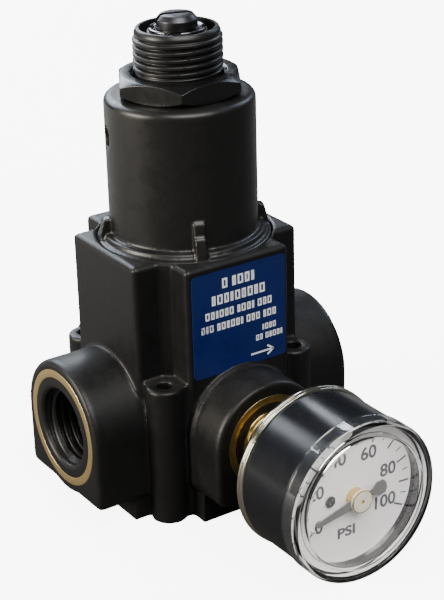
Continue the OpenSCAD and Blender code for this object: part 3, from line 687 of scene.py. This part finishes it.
def cut_away(mesh, cutter_mesh):
    """The mesh less a cutter."""
    cutter = bpy.data.objects.new("cutter", cutter_mesh)
    bpy.context.scene.collection.objects.link(cutter)
    result = with_modifiers(mesh, ("BOOLEAN", {"operation": "DIFFERENCE", "object": cutter,
                                               "solver": "EXACT"}))
    bpy.data.objects.remove(cutter)
    return result


def bevelled(mesh, width_mm):
    """Rounds the sharp edges of a clean mesh."""
    settings = {"width": width_mm * MM, "segments": 3, "limit_method": "ANGLE",
                "angle_limit": math.radians(28), "use_clamp_overlap": True}
    return with_modifiers(mesh, ("BEVEL", settings))


def cut_at(mesh, place, normal, keep_above=True):
    """Keeps one side of a plane and caps the cut."""
    half = bmesh.new()
    half.from_mesh(mesh)
    bmesh.ops.remove_doubles(half, verts=half.verts, dist=WELD)
    parts = half.verts[:] + half.edges[:] + half.faces[:]
    cut = bmesh.ops.bisect_plane(half, geom=parts, plane_co=place, plane_no=normal,
                                 clear_inner=keep_above, clear_outer=not keep_above)
    edges = [part for part in cut["geom_cut"] if isinstance(part, bmesh.types.BMEdge)]
    bmesh.ops.holes_fill(half, edges=edges)
    result = bpy.data.meshes.new(mesh.name)
    half.to_mesh(result)
    half.free()
    return result


def place_piece(name, mesh, finish, body, replaces=(), smooth_deg=35):
    """Shows a mesh as a named piece that rides on a body."""
    mesh.name = name
    mesh.materials.clear()
    mesh.materials.append(FINISHES[finish])
    mesh.shade_smooth()
    mesh.set_sharp_from_angle(angle=math.radians(smooth_deg))
    mesh = with_modifiers(mesh, ("WEIGHTED_NORMAL", {"keep_sharp": True}))
    piece = bpy.data.objects.new(name, mesh)
    bpy.context.scene.collection.objects.link(piece)
    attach(piece, body)
    if replaces:
        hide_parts(*replaces)
    return piece


def screw_thread(angle, height, root, crest, pitch, land=0.14):
    """Radius of a right hand thread, whose crests are flat over a share of the pitch."""
    phase = (height / pitch - angle / math.tau) % 1
    rise = 1 - abs(2 * phase - 1)
    share = min(max((rise - 0.12) / (0.88 - land), 0), 1)
    eased = share * share * (3 - 2 * share) * 0.35 + share * 0.65
    return root + (crest - root) * eased


def levels(low, high, gap):
    """Evenly spaced heights, both ends included."""
    count = max(1, round((high - low) / gap))
    return [low + (high - low) * step / count for step in range(count + 1)]


# ---- Body and bonnet ----

MOULD_VOXEL = 0.24
BODY_PASSES = 7
BONNET_PASSES = 5


def moulded(name, meshes, passes, keep):
    """Rounds every edge and fillets every corner, as in a mould."""
    rough = joined_mesh(name, meshes)
    return with_modifiers(
        rough,
        ("REMESH", {"mode": "VOXEL", "voxel_size": MOULD_VOXEL * MM, "use_smooth_shade": True}),
        ("SMOOTH", {"factor": 0.5, "iterations": passes}),
        ("DECIMATE", {"decimate_type": "COLLAPSE", "ratio": keep}))


RING_DEPTH = 2.15
GROOVE_GAP = 0.03
PIPE_RING_WALL, GAUGE_RING_WALL = 1.51, 1.36
PIPE_RINGS = ("inlet_ring", "outlet_ring")
PORT_RINGS = {"inlet_ring": (INLET, INLET_REACH), "outlet_ring": (OUTLET, INLET_REACH),
              "gauge_port_ring": (GAUGE, GAUGE_REACH), "rear_port_ring": (REAR, GAUGE_REACH)}


def ring_radii(node):
    """Inner and outer radius of a port ring, in mm."""
    low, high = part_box(node)
    outer = (high.z - low.z) / 2 / MM
    return outer - (PIPE_RING_WALL if node in PIPE_RINGS else GAUGE_RING_WALL), outer


def build_body():
    """The moulded body, with a groove in each boss for its ring."""
    filled = [NODES["valve_body"].data] + [NODES[node].data for node in PORT_RINGS]
    mesh = moulded("body_shell", filled, BODY_PASSES, 0.3)
    cutters = []
    for node, (place, reach) in PORT_RINGS.items():
        inner, outer = ring_radii(node)
        low, high = reach / MM - RING_DEPTH - 0.05, reach / MM + 1
        near, far = inner - GROOVE_GAP, outer + GROOVE_GAP
        outline = [(near, low), (far, low), (far, high), (near, high)]
        cutters.append(turned_mesh("groove", lambda _: outline, place))
    mesh = cut_away(mesh, joined_mesh("grooves", cutters))
    place_piece("body_shell", mesh, "body_plastic", "housing",
                ["valve_body"], smooth_deg=50)


def build_port_rings():
    """The brass rings that keep the bosses from splitting."""
    for node, (place, reach) in PORT_RINGS.items():
        inner, outer = ring_radii(node)
        low, high = reach / MM - RING_DEPTH, reach / MM - 0.02
        outline = rounded([(inner, low, 0.05), (outer, low, 0.05), (outer, high, 0.14),
                           (inner, high, 0.14)])
        mesh = turned_mesh(node, lambda _: outline, place)
        finish = "ring_brass" if node in PIPE_RINGS else "gauge_ring_brass"
        place_piece(node + "_turned", mesh, finish, "housing", [node])


PORT_PITCH = 25.4 / 18
PORT_CREST = 5.85
PORT_MAJOR = 6.8
PORT_THREAD_DEPTH, PORT_LEAD_IN = 10.6, 0.9


def build_port_threads():
    """The moulded pipe threads inside the inlet and the outlet."""
    reach = INLET_REACH / MM
    low, high = reach - PORT_THREAD_DEPTH, reach - PORT_LEAD_IN
    heights = levels(low, high, 0.11)

    def outline_at(angle):
        inner = []
        for height in heights:
            mouth = PORT_CREST + 0.2 + max(0, height - (high - 1.3)) * 0.62
            radius = screw_thread(angle, height, PORT_MAJOR - 0.06, PORT_CREST, PORT_PITCH)
            inner.append((min(max(radius, mouth), PORT_MAJOR - 0.03), height))
        return [(PORT_MAJOR + 0.16, low), *inner, (PORT_MAJOR + 0.16, high)]

    for name, place in (("inlet_thread", INLET), ("outlet_thread", OUTLET)):
        mesh = turned_mesh(name, outline_at, place, steps=120)
        place_piece(name, mesh, "body_plastic", "housing", smooth_deg=60)


NECK_PITCH = 1.17
NECK_R = 7.5
NECK_ROOT = 6.88
NECK_LAND = 0.4
NECK_BORE = 6.1
SLEEVE_R, SLEEVE_BORE = 5.0, 3.5
NECK_FOOT, NECK_WELL, THREAD_START = 70.1, 72, 74.0


def build_bonnet():
    """The moulded bonnet up to the foot of its neck."""
    cut = cut_at(NODES["bonnet"].data, (0, 0, (NECK_FOOT + 0.5) * MM), (0, 0, 1), False)
    mesh = moulded("bonnet_shell", [cut], BONNET_PASSES, 0.35)
    place_piece("bonnet_shell", mesh, "bonnet_plastic", "housing", ["bonnet"],
                smooth_deg=50)


def build_neck():
    """The threaded neck, with its rim, bore and the sleeve that guides the screw."""
    top = NECK_TOP / MM
    heights = levels(NECK_FOOT, top - 0.75, 0.085)
    inside = rounded([(NECK_BORE, top, 0.18), (NECK_BORE, NECK_WELL, 0), (SLEEVE_R, NECK_WELL, 0),
                      (SLEEVE_R, top - 0.62, 0.1), (SLEEVE_BORE, top - 0.62, 0.1),
                      (SLEEVE_BORE, NECK_FOOT, 0)], closed=False)
    inside = [(NECK_BORE + 0.2, top - 0.01)] + inside[1:]

    def outline_at(angle):
        outer = []
        for height in heights:
            run_out = min(max((top - 1.05 - height) / 0.5, 0), 1)
            relief = min(max((height - THREAD_START) / 0.7, 0), 1)
            thread = screw_thread(angle, height, NECK_ROOT, NECK_R, NECK_PITCH, NECK_LAND)
            plain = NECK_R - 0.32
            radius = plain + (thread - plain) * run_out * relief
            outer.append((radius, height))
        rim = [(NECK_R - 0.36, top - 0.6), (NECK_R - 0.62, top - 0.1),
               (NECK_R - 0.7, top - 0.02), (NECK_R - 0.78, top)]
        return outer + rim + inside

    mesh = turned_mesh("bonnet_neck", outline_at, steps=200)
    place_piece("bonnet_neck", mesh, "bonnet_plastic", "housing",
                smooth_deg=60)


# ---- Nut, screw and retainer ----

NUT_FLAT = 9.9
NUT_CHAMFER_R = 9.75
NUT_SLOPE = 0.62


def build_nut():
    """A hexagon nut, chamfered on both faces."""
    low, high = NUT_LOW.z / MM, NUT_HIGH.z / MM
    bore = NECK_R + 0.05

    def outline_at(angle):
        turn = (math.degrees(angle) % 60) - 30
        side = NUT_FLAT / math.cos(math.radians(turn))
        fall = (side - NUT_CHAMFER_R) * NUT_SLOPE
        return [(bore, low), (NUT_CHAMFER_R, low), (side, low + fall), (side, high - fall),
                (NUT_CHAMFER_R, high), (bore + 0.55, high), (bore, high - 0.45)]

    mesh = bevelled(turned_mesh("hexagon_nut", outline_at, steps=180), 0.13)
    place_piece("hexagon_nut", mesh, "nut_black", "nut", ["panel_nut"])


SCREW_R = 3.45
SLOT_TURN = -19
SLOT_W, SLOT_DEPTH = 1.15, 1.7
DRIVE_ROOT, DRIVE_R, DRIVE_PITCH, DRIVE_TOP = 2.45, 3.0, 1.0, 65.2
COLLAR_R, COLLAR_LOW, COLLAR_HIGH = 6.5, 65.5, 67.5
RETAINER_GAPS = (-125, -35, 55, 145)
RETAINER_GAP_W = 1.8


def build_retainer():
    """The snap ring in the screw's groove: a thin web with a rounded bead and four gaps."""
    low, high = (bound.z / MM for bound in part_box("screw_retainer"))
    inner, outer = SCREW_R - 0.25, width_of("screw_retainer") / 2 / MM
    outline = rounded([(inner, low, 0.03), (outer, low, 0.15), (outer, high, 0.22),
                       (outer - 0.55, high, 0.2), (outer - 0.75, high - 0.22, 0.05),
                       (inner, high - 0.22, 0.03)])
    mesh = turned_mesh("retaining_ring", lambda _: outline, steps=144)
    shift = Matrix.Translation(Vector((SCREW_R + 0.35 + 2, 0, low)) * MM)
    size = Matrix.Diagonal((4 * MM, RETAINER_GAP_W * MM, 4 * MM, 1))
    gaps = [Matrix.Rotation(math.radians(degrees), 4, "Z") @ shift @ size
            for degrees in RETAINER_GAPS]
    mesh = cut_away(mesh, block_mesh("gaps", gaps))
    place_piece("retaining_ring", mesh, "ring_steel", "adjuster",
                ["screw_retainer"])


def build_screw():
    """The slotted adjusting screw, with its collar and its drive thread."""
    low, high = (bound.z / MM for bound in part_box("adjusting_screw"))
    thread_heights = levels(low + 0.5, DRIVE_TOP, 0.1)
    groove = NECK_TOP / MM - 0.57
    body = rounded([(DRIVE_R, COLLAR_LOW, 0), (COLLAR_R, COLLAR_LOW, 0.2),
                    (COLLAR_R, COLLAR_HIGH, 0.2), (SCREW_R, COLLAR_HIGH, 0),
                    (SCREW_R, groove, 0), (SCREW_R - 0.3, groove, 0),
                    (SCREW_R - 0.3, groove + 0.54, 0), (SCREW_R, groove + 0.54, 0.03),
                    (SCREW_R, high - 0.95, 0.25), (SCREW_R - 0.62, high - 0.14, 0.3),
                    (SCREW_R - 1.4, high, 0.6), (0, high, 0)], closed=False)

    def outline_at(angle):
        drive = [(screw_thread(angle, height, DRIVE_ROOT, DRIVE_R, DRIVE_PITCH), height)
                 for height in thread_heights]
        return [(0, low), (2.3, low)] + drive + body

    mesh = turned_mesh("slotted_screw", outline_at, steps=144)
    shift = Matrix.Translation((0, 0, (high - 0.2) * MM))
    turn = Matrix.Rotation(math.radians(SLOT_TURN), 4, "Z")
    size = Matrix.Diagonal((10 * MM, SLOT_W * MM, 2 * (SLOT_DEPTH - 0.2) * MM, 1))
    mesh = cut_away(mesh, block_mesh("slot", [shift @ turn @ size]))
    place_piece("slotted_screw", mesh, "screw_steel", "adjuster",
                ["adjusting_screw"])


# ---- Gauge ----

CASE_WALL, CASE_STEP, STEM_HOLE_R = 0.5, 0.27, 4.05


def build_gauge_case():
    """The painted cup, a little wider up to the edge of the lens skirt."""
    front, back, side = CASE_FRONT / MM, CASE_BACK / MM, CASE_R / MM
    shoulder, body, inside = LENS_SKIRT / MM - 0.08, side + CASE_STEP, side - CASE_WALL
    outline = rounded([(STEM_HOLE_R, back, 0), (body, back, 0.7), (body, shoulder, 0.12),
                       (side, shoulder, 0), (side, front, 0.12), (inside, front, 0.12),
                       (inside, back + 0.6, 0), (STEM_HOLE_R, back + 0.6, 0)])
    mesh = turned_mesh("painted_case", lambda _: outline, GAUGE, steps=240)
    place_piece("painted_case", mesh, "case_paint", "housing", ["gauge_case"])


def build_back_ring():
    """The bright ring round the back of the case, with its two ridges."""
    low, high = -BACK_RING_HIGH.y / MM, -BACK_RING_LOW.y / MM
    inner = CASE_R / MM + 0.02
    outer = BACK_RING_HIGH.x / MM
    outline = rounded([(inner, low, 0), (outer - 0.12, low, 0.1), (outer, low + 0.3, 0.12),
                       (outer, low + 0.62, 0.1), (outer - 0.25, low + 0.75, 0.05),
                       (outer - 0.25, low + 0.85, 0.05), (outer - 0.06, low + 0.95, 0.08),
                       (outer - 0.06, high - 0.12, 0.1), (inner + 0.08, high, 0.04),
                       (inner, high, 0)])
    mesh = turned_mesh("case_back_ring", lambda _: outline, GAUGE, steps=240)
    place_piece("case_back_ring", mesh, "case_ring", "housing",
                ["gauge_back_ring"])


WINDOW_R = 11.3


def build_lens():
    """The clear cap: a flat window, a thick rim and a skirt over the case."""
    front, skirt, side = LENS_FRONT / MM, LENS_SKIRT / MM, LENS_R / MM
    face, case_front = DIAL_FACE / MM, CASE_FRONT / MM
    groove_in, groove_out = CASE_R / MM - 0.55, CASE_R / MM + 0.03
    outline = rounded([(0, front - 1.0, 0), (WINDOW_R - 0.1, front - 1.0, 0.3),
                       (WINDOW_R + 0.2, face + 0.05, 0.1), (groove_in, face + 0.05, 0.1),
                       (groove_in, case_front + 0.1, 0.05), (groove_out, case_front + 0.1, 0.05),
                       (groove_out, skirt, 0.05), (side, skirt, 0.12),
                       (side, front - 0.55, 0.35), (side - 0.5, front, 0.3),
                       (WINDOW_R + 0.15, front, 0.1), (WINDOW_R, front - 0.14, 0.1),
                       (0, front - 0.14, 0)], closed=False)
    mesh = turned_mesh("clear_lens", lambda _: outline, GAUGE, steps=240)
    place_piece("clear_lens", mesh, "lens_clear", "housing", ["gauge_lens"])


ZERO_ANGLE = 207
DIAL_SWEEP = 234
DIAL_MAXIMUM = 100
TICK_OUTER = 11.2
LONG_TICK = {"inner": 9.2, "outer": TICK_OUTER, "wide": 0.34}
SHORT_TICK = {"inner": 9.9, "outer": TICK_OUTER - 0.2, "wide": 0.2}
FIGURE_R = {0: 7.7, 20: 7.9, 40: 7.9, 60: 7.3, 80: 7.3, 100: 6.9}
FIGURE_HEIGHT, UNIT_HEIGHT = 2.3, 1.8
UNIT_PLACE = (-1.4, -6.1)
CAPITAL_SHARE = 0.73
INK_SPREAD = 0.075
PRINT_T = 0.02
PRINT_GAP = 0.004 * MM


def dial_angle(value):
    """Where a pressure lies on the dial, seen from the front."""
    return math.radians(ZERO_ANGLE - DIAL_SWEEP * value / DIAL_MAXIMUM)


def bar(centre, size, turn, place):
    """A printed rectangle in the XY plane of a frame, in mm, turned about its centre."""
    across, up = size[0] / 2, size[1] / 2
    spin = Matrix.Rotation(turn, 2)
    points = [Vector(centre) + spin @ Vector(corner) for corner in
              ((-across, -up), (across, -up), (across, up), (-across, up))]
    verts = [place @ (Vector((*point, height)) * MM) for height in (0, PRINT_T)
             for point in points]
    faces = [[0, 1, 2, 3], [4, 5, 6, 7]]
    faces += [[side, (side + 1) % 4, 4 + (side + 1) % 4, 4 + side] for side in range(4)]
    return solid_mesh("bar", verts, faces)


def figures(text, centre, height, wide, place):
    """A printed number or unit as a thin mesh, from the built in font."""
    curve = bpy.data.curves.new("figures", "FONT")
    curve.body = text
    curve.size = height / CAPITAL_SHARE * MM
    curve.align_x, curve.align_y = "CENTER", "CENTER"
    curve.extrude = PRINT_T / 2 * MM
    curve.offset = INK_SPREAD * MM
    curve.resolution_u = 6
    working = bpy.data.objects.new("figures", curve)
    bpy.context.scene.collection.objects.link(working)
    graph = bpy.context.evaluated_depsgraph_get()
    mesh = bpy.data.meshes.new_from_object(working.evaluated_get(graph))
    bpy.data.objects.remove(working)
    shift = Matrix.Translation(Vector((*centre, PRINT_T / 2)) * MM)
    mesh.transform(place @ shift @ Matrix.Diagonal((wide, 1, 1, 1)))
    return mesh


def build_dial_print():
    """Ticks and figures, printed on the dial."""
    face = GAUGE @ Matrix.Translation((0, 0, DIAL_FACE + PRINT_GAP))
    marks = []
    for value in range(0, DIAL_MAXIMUM + 1, 5):
        angle = dial_angle(value)
        tick = LONG_TICK if value % 10 == 0 else SHORT_TICK
        reach, length = (tick["inner"] + tick["outer"]) / 2, tick["outer"] - tick["inner"]
        centre = (reach * math.cos(angle), reach * math.sin(angle))
        marks.append(bar(centre, (length, tick["wide"]), angle, face))
    for value, reach in FIGURE_R.items():
        angle = dial_angle(value)
        centre = (reach * math.cos(angle), reach * math.sin(angle))
        marks.append(figures(str(value), centre, FIGURE_HEIGHT, 1.02, face))
    marks.append(figures("PSI", UNIT_PLACE, UNIT_HEIGHT, 1.25, face))
    place_piece("dial_print", joined_mesh("dial_print", marks), "dial_ink", "housing",
                smooth_deg=30)


STOP_PIN = (-8.2, -3.4)


def build_stop_pin():
    """The small pin on the dial beside the zero mark."""
    at = GAUGE @ Matrix.Translation(Vector((*STOP_PIN, DIAL_FACE / MM)) * MM)
    outline = rounded([(0, -0.2, 0), (0.28, -0.2, 0), (0.28, 0.7, 0.08), (0, 0.75, 0)],
                      closed=False)
    mesh = turned_mesh("stop_pin", lambda _: outline, at, steps=32)
    place_piece("stop_pin", mesh, "hub_metal", "housing")


STEM_PITCH = 25.4 / 27
STEM_BORE, STEM_ROOT, STEM_R, STEM_THREAD_LENGTH = 1.3, 4.5, 5.08, 8


def build_gauge_stem():
    """The brass stem: a taper thread that screws into the port, then square flats."""
    low = GAUGE_REACH / MM - STEM_THREAD_LENGTH
    flats = GAUGE_REACH / MM + 2.2
    heights = levels(low + 0.4, flats - 0.5, 0.08)

    def outline_at(angle):
        thread = [(screw_thread(angle, height, STEM_ROOT, STEM_R, STEM_PITCH), height)
                  for height in heights]
        return [(STEM_BORE, low), (STEM_ROOT - 0.2, low), *thread,
                (STEM_ROOT + 0.1, flats - 0.2), (STEM_ROOT + 0.1, flats + 0.05),
                (STEM_BORE, flats + 0.05)]

    thread = turned_mesh("stem_thread", outline_at, GAUGE, steps=160)
    place_piece("stem_thread", thread, "valve_brass", "housing", smooth_deg=60)
    half = cut_at(NODES["gauge_stem"].data, GAUGE @ Vector((0, 0, (flats + 0.01) * MM)),
                  (0, -1, 0))
    flats_mesh = bevelled(joined_mesh("stem_flats", [half]), 0.15)
    place_piece("stem_flats", flats_mesh, "valve_brass", "housing",
                ["gauge_stem"])


def build_pointer_hub():
    """The domed hub cap that hides the end of the pointer shaft."""
    shaft_front = -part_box("pointer_shaft")[0].y / MM
    back = -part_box("pointer")[0].y / MM + 0.005
    cap = width_of("pointer_shaft") / 2 / MM
    outline = rounded([(0, back, 0), (cap, back, 0.05), (cap + 0.02, shaft_front - 0.3, 0.1),
                       (cap - 0.12, shaft_front + 0.02, 0.1), (0.34, shaft_front + 0.04, 0.03),
                       (0.3, shaft_front - 0.16, 0.03), (0, shaft_front - 0.2, 0)],
                      closed=False)
    mesh = turned_mesh("pointer_hub", lambda _: outline, GAUGE, steps=96)
    place_piece("pointer_hub", mesh, "hub_metal", "indicator")


# ---- Label print ----

LABEL_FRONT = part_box("label_plate")[0].y
LETTER_WIDTHS = (0.95, 0.7, 1.0, 0.85, 0.55, 0.95, 0.8)
# Each row is its middle, its base line, its height, and the letters in each of its words.
LABEL_ROWS = ((-0.2, 41.3, 1.75, (1, 4)), (-0.2, 38.6, 1.7, (9,)), (-0.2, 36.2, 1.35, (6, 4, 3)),
              (-0.2, 33.9, 1.3, (3, 6, 3, 3)), (5.9, 31.6, 1.05, (4,)), (5.9, 29.9, 1.05, (2, 5)))
ARROW_TAIL, ARROW_TIP, ARROW_HEIGHT = 2.1, 6.7, 27.6


def block_word(left, base, height, letters, place, seed):
    """A word's worth of plain open boxes, one a letter."""
    blocks, at = [], left
    stroke = 0.19 * height
    for index in range(letters):
        width = LETTER_WIDTHS[(index + seed) % len(LETTER_WIDTHS)] * height * 0.62
        for middle in (at + stroke / 2, at + width - stroke / 2):
            blocks.append(bar((middle, base + height / 2), (stroke, height), 0, place))
        for middle in (base + stroke / 2, base + height - stroke / 2):
            blocks.append(bar((at + width / 2, middle), (width - 2 * stroke, stroke), 0, place))
        at += width + 0.2 * height
    return blocks, at


def block_line(middle_x, base, height, words, place, seed):
    """A centred line of words, each a count of letters."""
    blocks, at = [], 0
    for count in words:
        word, at = block_word(at, base, height, count, place, seed)
        blocks += word
        at += 0.35 * height
        seed += count
    width = at - 0.55 * height
    shift = Matrix.Translation(place.to_3x3() @ Vector(((middle_x - width / 2) * MM, 0, 0)))
    for mesh in blocks:
        mesh.transform(shift)
    return blocks


def build_label_print():
    """Plain boxes in place of lettering, and an arrow for the flow."""
    face = Matrix.Translation((0, LABEL_FRONT - PRINT_GAP, 0)) @ Matrix(
        ((1, 0, 0, 0), (0, 0, -1, 0), (0, 1, 0, 0), (0, 0, 0, 1)))
    marks = []
    for seed, (middle_x, base, height, words) in enumerate(LABEL_ROWS):
        marks += block_line(middle_x, base, height, words, face, seed)
    shaft_middle, shaft_length = (ARROW_TAIL + ARROW_TIP) / 2, ARROW_TIP - ARROW_TAIL
    marks.append(bar((shaft_middle, ARROW_HEIGHT), (shaft_length, 0.3), 0, face))
    for side in (-1, 1):
        barb = (ARROW_TIP - 0.6, ARROW_HEIGHT + side * 0.42)
        marks.append(bar(barb, (1.5, 0.32), -side * 0.62, face))
    place_piece("label_print", joined_mesh("label_print", marks), "label_print", "housing",
                smooth_deg=30)


# ---- Springs and seals ----


def coil_mesh(name, coil_r, wire_r, low, high, turns):
    """A round wire spring, its ends cut square."""
    steps, sides = turns * 40, 14
    verts, faces = [], []
    for step in range(steps + 1):
        share = step / steps
        angle = math.tau * turns * share
        height = low + (high - low) * share
        for side in range(sides):
            lean = math.tau * side / sides
            radius = coil_r + wire_r * math.cos(lean)
            verts.append(Vector((radius * math.cos(angle), radius * math.sin(angle),
                                 height + wire_r * math.sin(lean))) * MM)
    for step in range(steps):
        for side in range(sides):
            here, there = step * sides, (step + 1) * sides
            beside = (side + 1) % sides
            faces.append([here + side, here + beside, there + beside, there + side])
    faces.append(list(range(sides)))
    faces.append(list(range(steps * sides, (steps + 1) * sides)))
    return solid_mesh(name, verts, faces)


# Each spring is its node, its name, its wire's radius, its turns, and its joint and travel.
SPRINGS = (("range_spring", "range_spring_coil", 1.1, 7, "spring_nut_travel", 6.0),
           ("poppet_spring", "valve_spring_coil", 0.35, 5, "valve_lift", 0.8))


def build_springs():
    """The two coil springs."""
    for node, name, wire_r, turns, joint, travel in SPRINGS:
        low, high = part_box(node)
        coil_r = (high.x - low.x) / 2 / MM - wire_r
        mesh = coil_mesh(name, coil_r, wire_r, low.z / MM + wire_r, high.z / MM - wire_r, turns)
        piece = place_piece(name, mesh, "spring_steel", "housing", [node])
        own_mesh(piece)


def build_diaphragm():
    """The rubber sheet, with a rolled ring between its clamped rim and its middle."""
    low, high = (bound.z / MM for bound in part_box("diaphragm"))
    side = width_of("diaphragm") / 2 / MM
    outline = rounded([(1.95, low, 0.1), (9.7, low, 0), (10.1, low + 0.14, 0.2),
                       (10.5, low, 0), (side, low, 0.1), (side, high, 0.1),
                       (10.5, high, 0.2), (10.1, high - 0.1, 0.2), (9.7, high, 0.2),
                       (1.95, high, 0.1)])
    mesh = turned_mesh("diaphragm_sheet", lambda _: outline, steps=120)
    piece = place_piece("diaphragm_sheet", mesh, "seal_rubber", "housing",
                        ["diaphragm"])
    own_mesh(piece)


# ---- CAD nodes that are shown as they are ----


def finish_cad_nodes():
    """Gives each CAD node that shows the finish of its slot."""
    for node in NODES.values():
        for slot in node.material_slots:
            slot.material = FINISHES[slot.material.name.split(".")[0]]
    NODES["pointer_shaft"].material_slots[0].material = FINISHES["movement_brass"]


# ---- The scene ----

make_camera()
make_studio()
for make_group in (make_place_group, make_moulding_group, make_edge_group, make_dust_group,
                   make_handling_group, make_turning_group):
    make_group()
FINISHES = make_materials()

bpy.ops.mesh.primitive_plane_add(size=4)
floor = bpy.context.object
floor.name = "floor"
floor.data.materials.append(floor_finish("floor_finish"))

finish_cad_nodes()
build_body()
build_port_rings()
build_port_threads()
build_bonnet()
build_neck()
build_nut()
build_screw()
build_retainer()
build_gauge_case()
build_back_ring()
build_lens()
build_dial_print()
build_stop_pin()
build_gauge_stem()
build_pointer_hub()
build_label_print()
build_springs()
build_diaphragm()
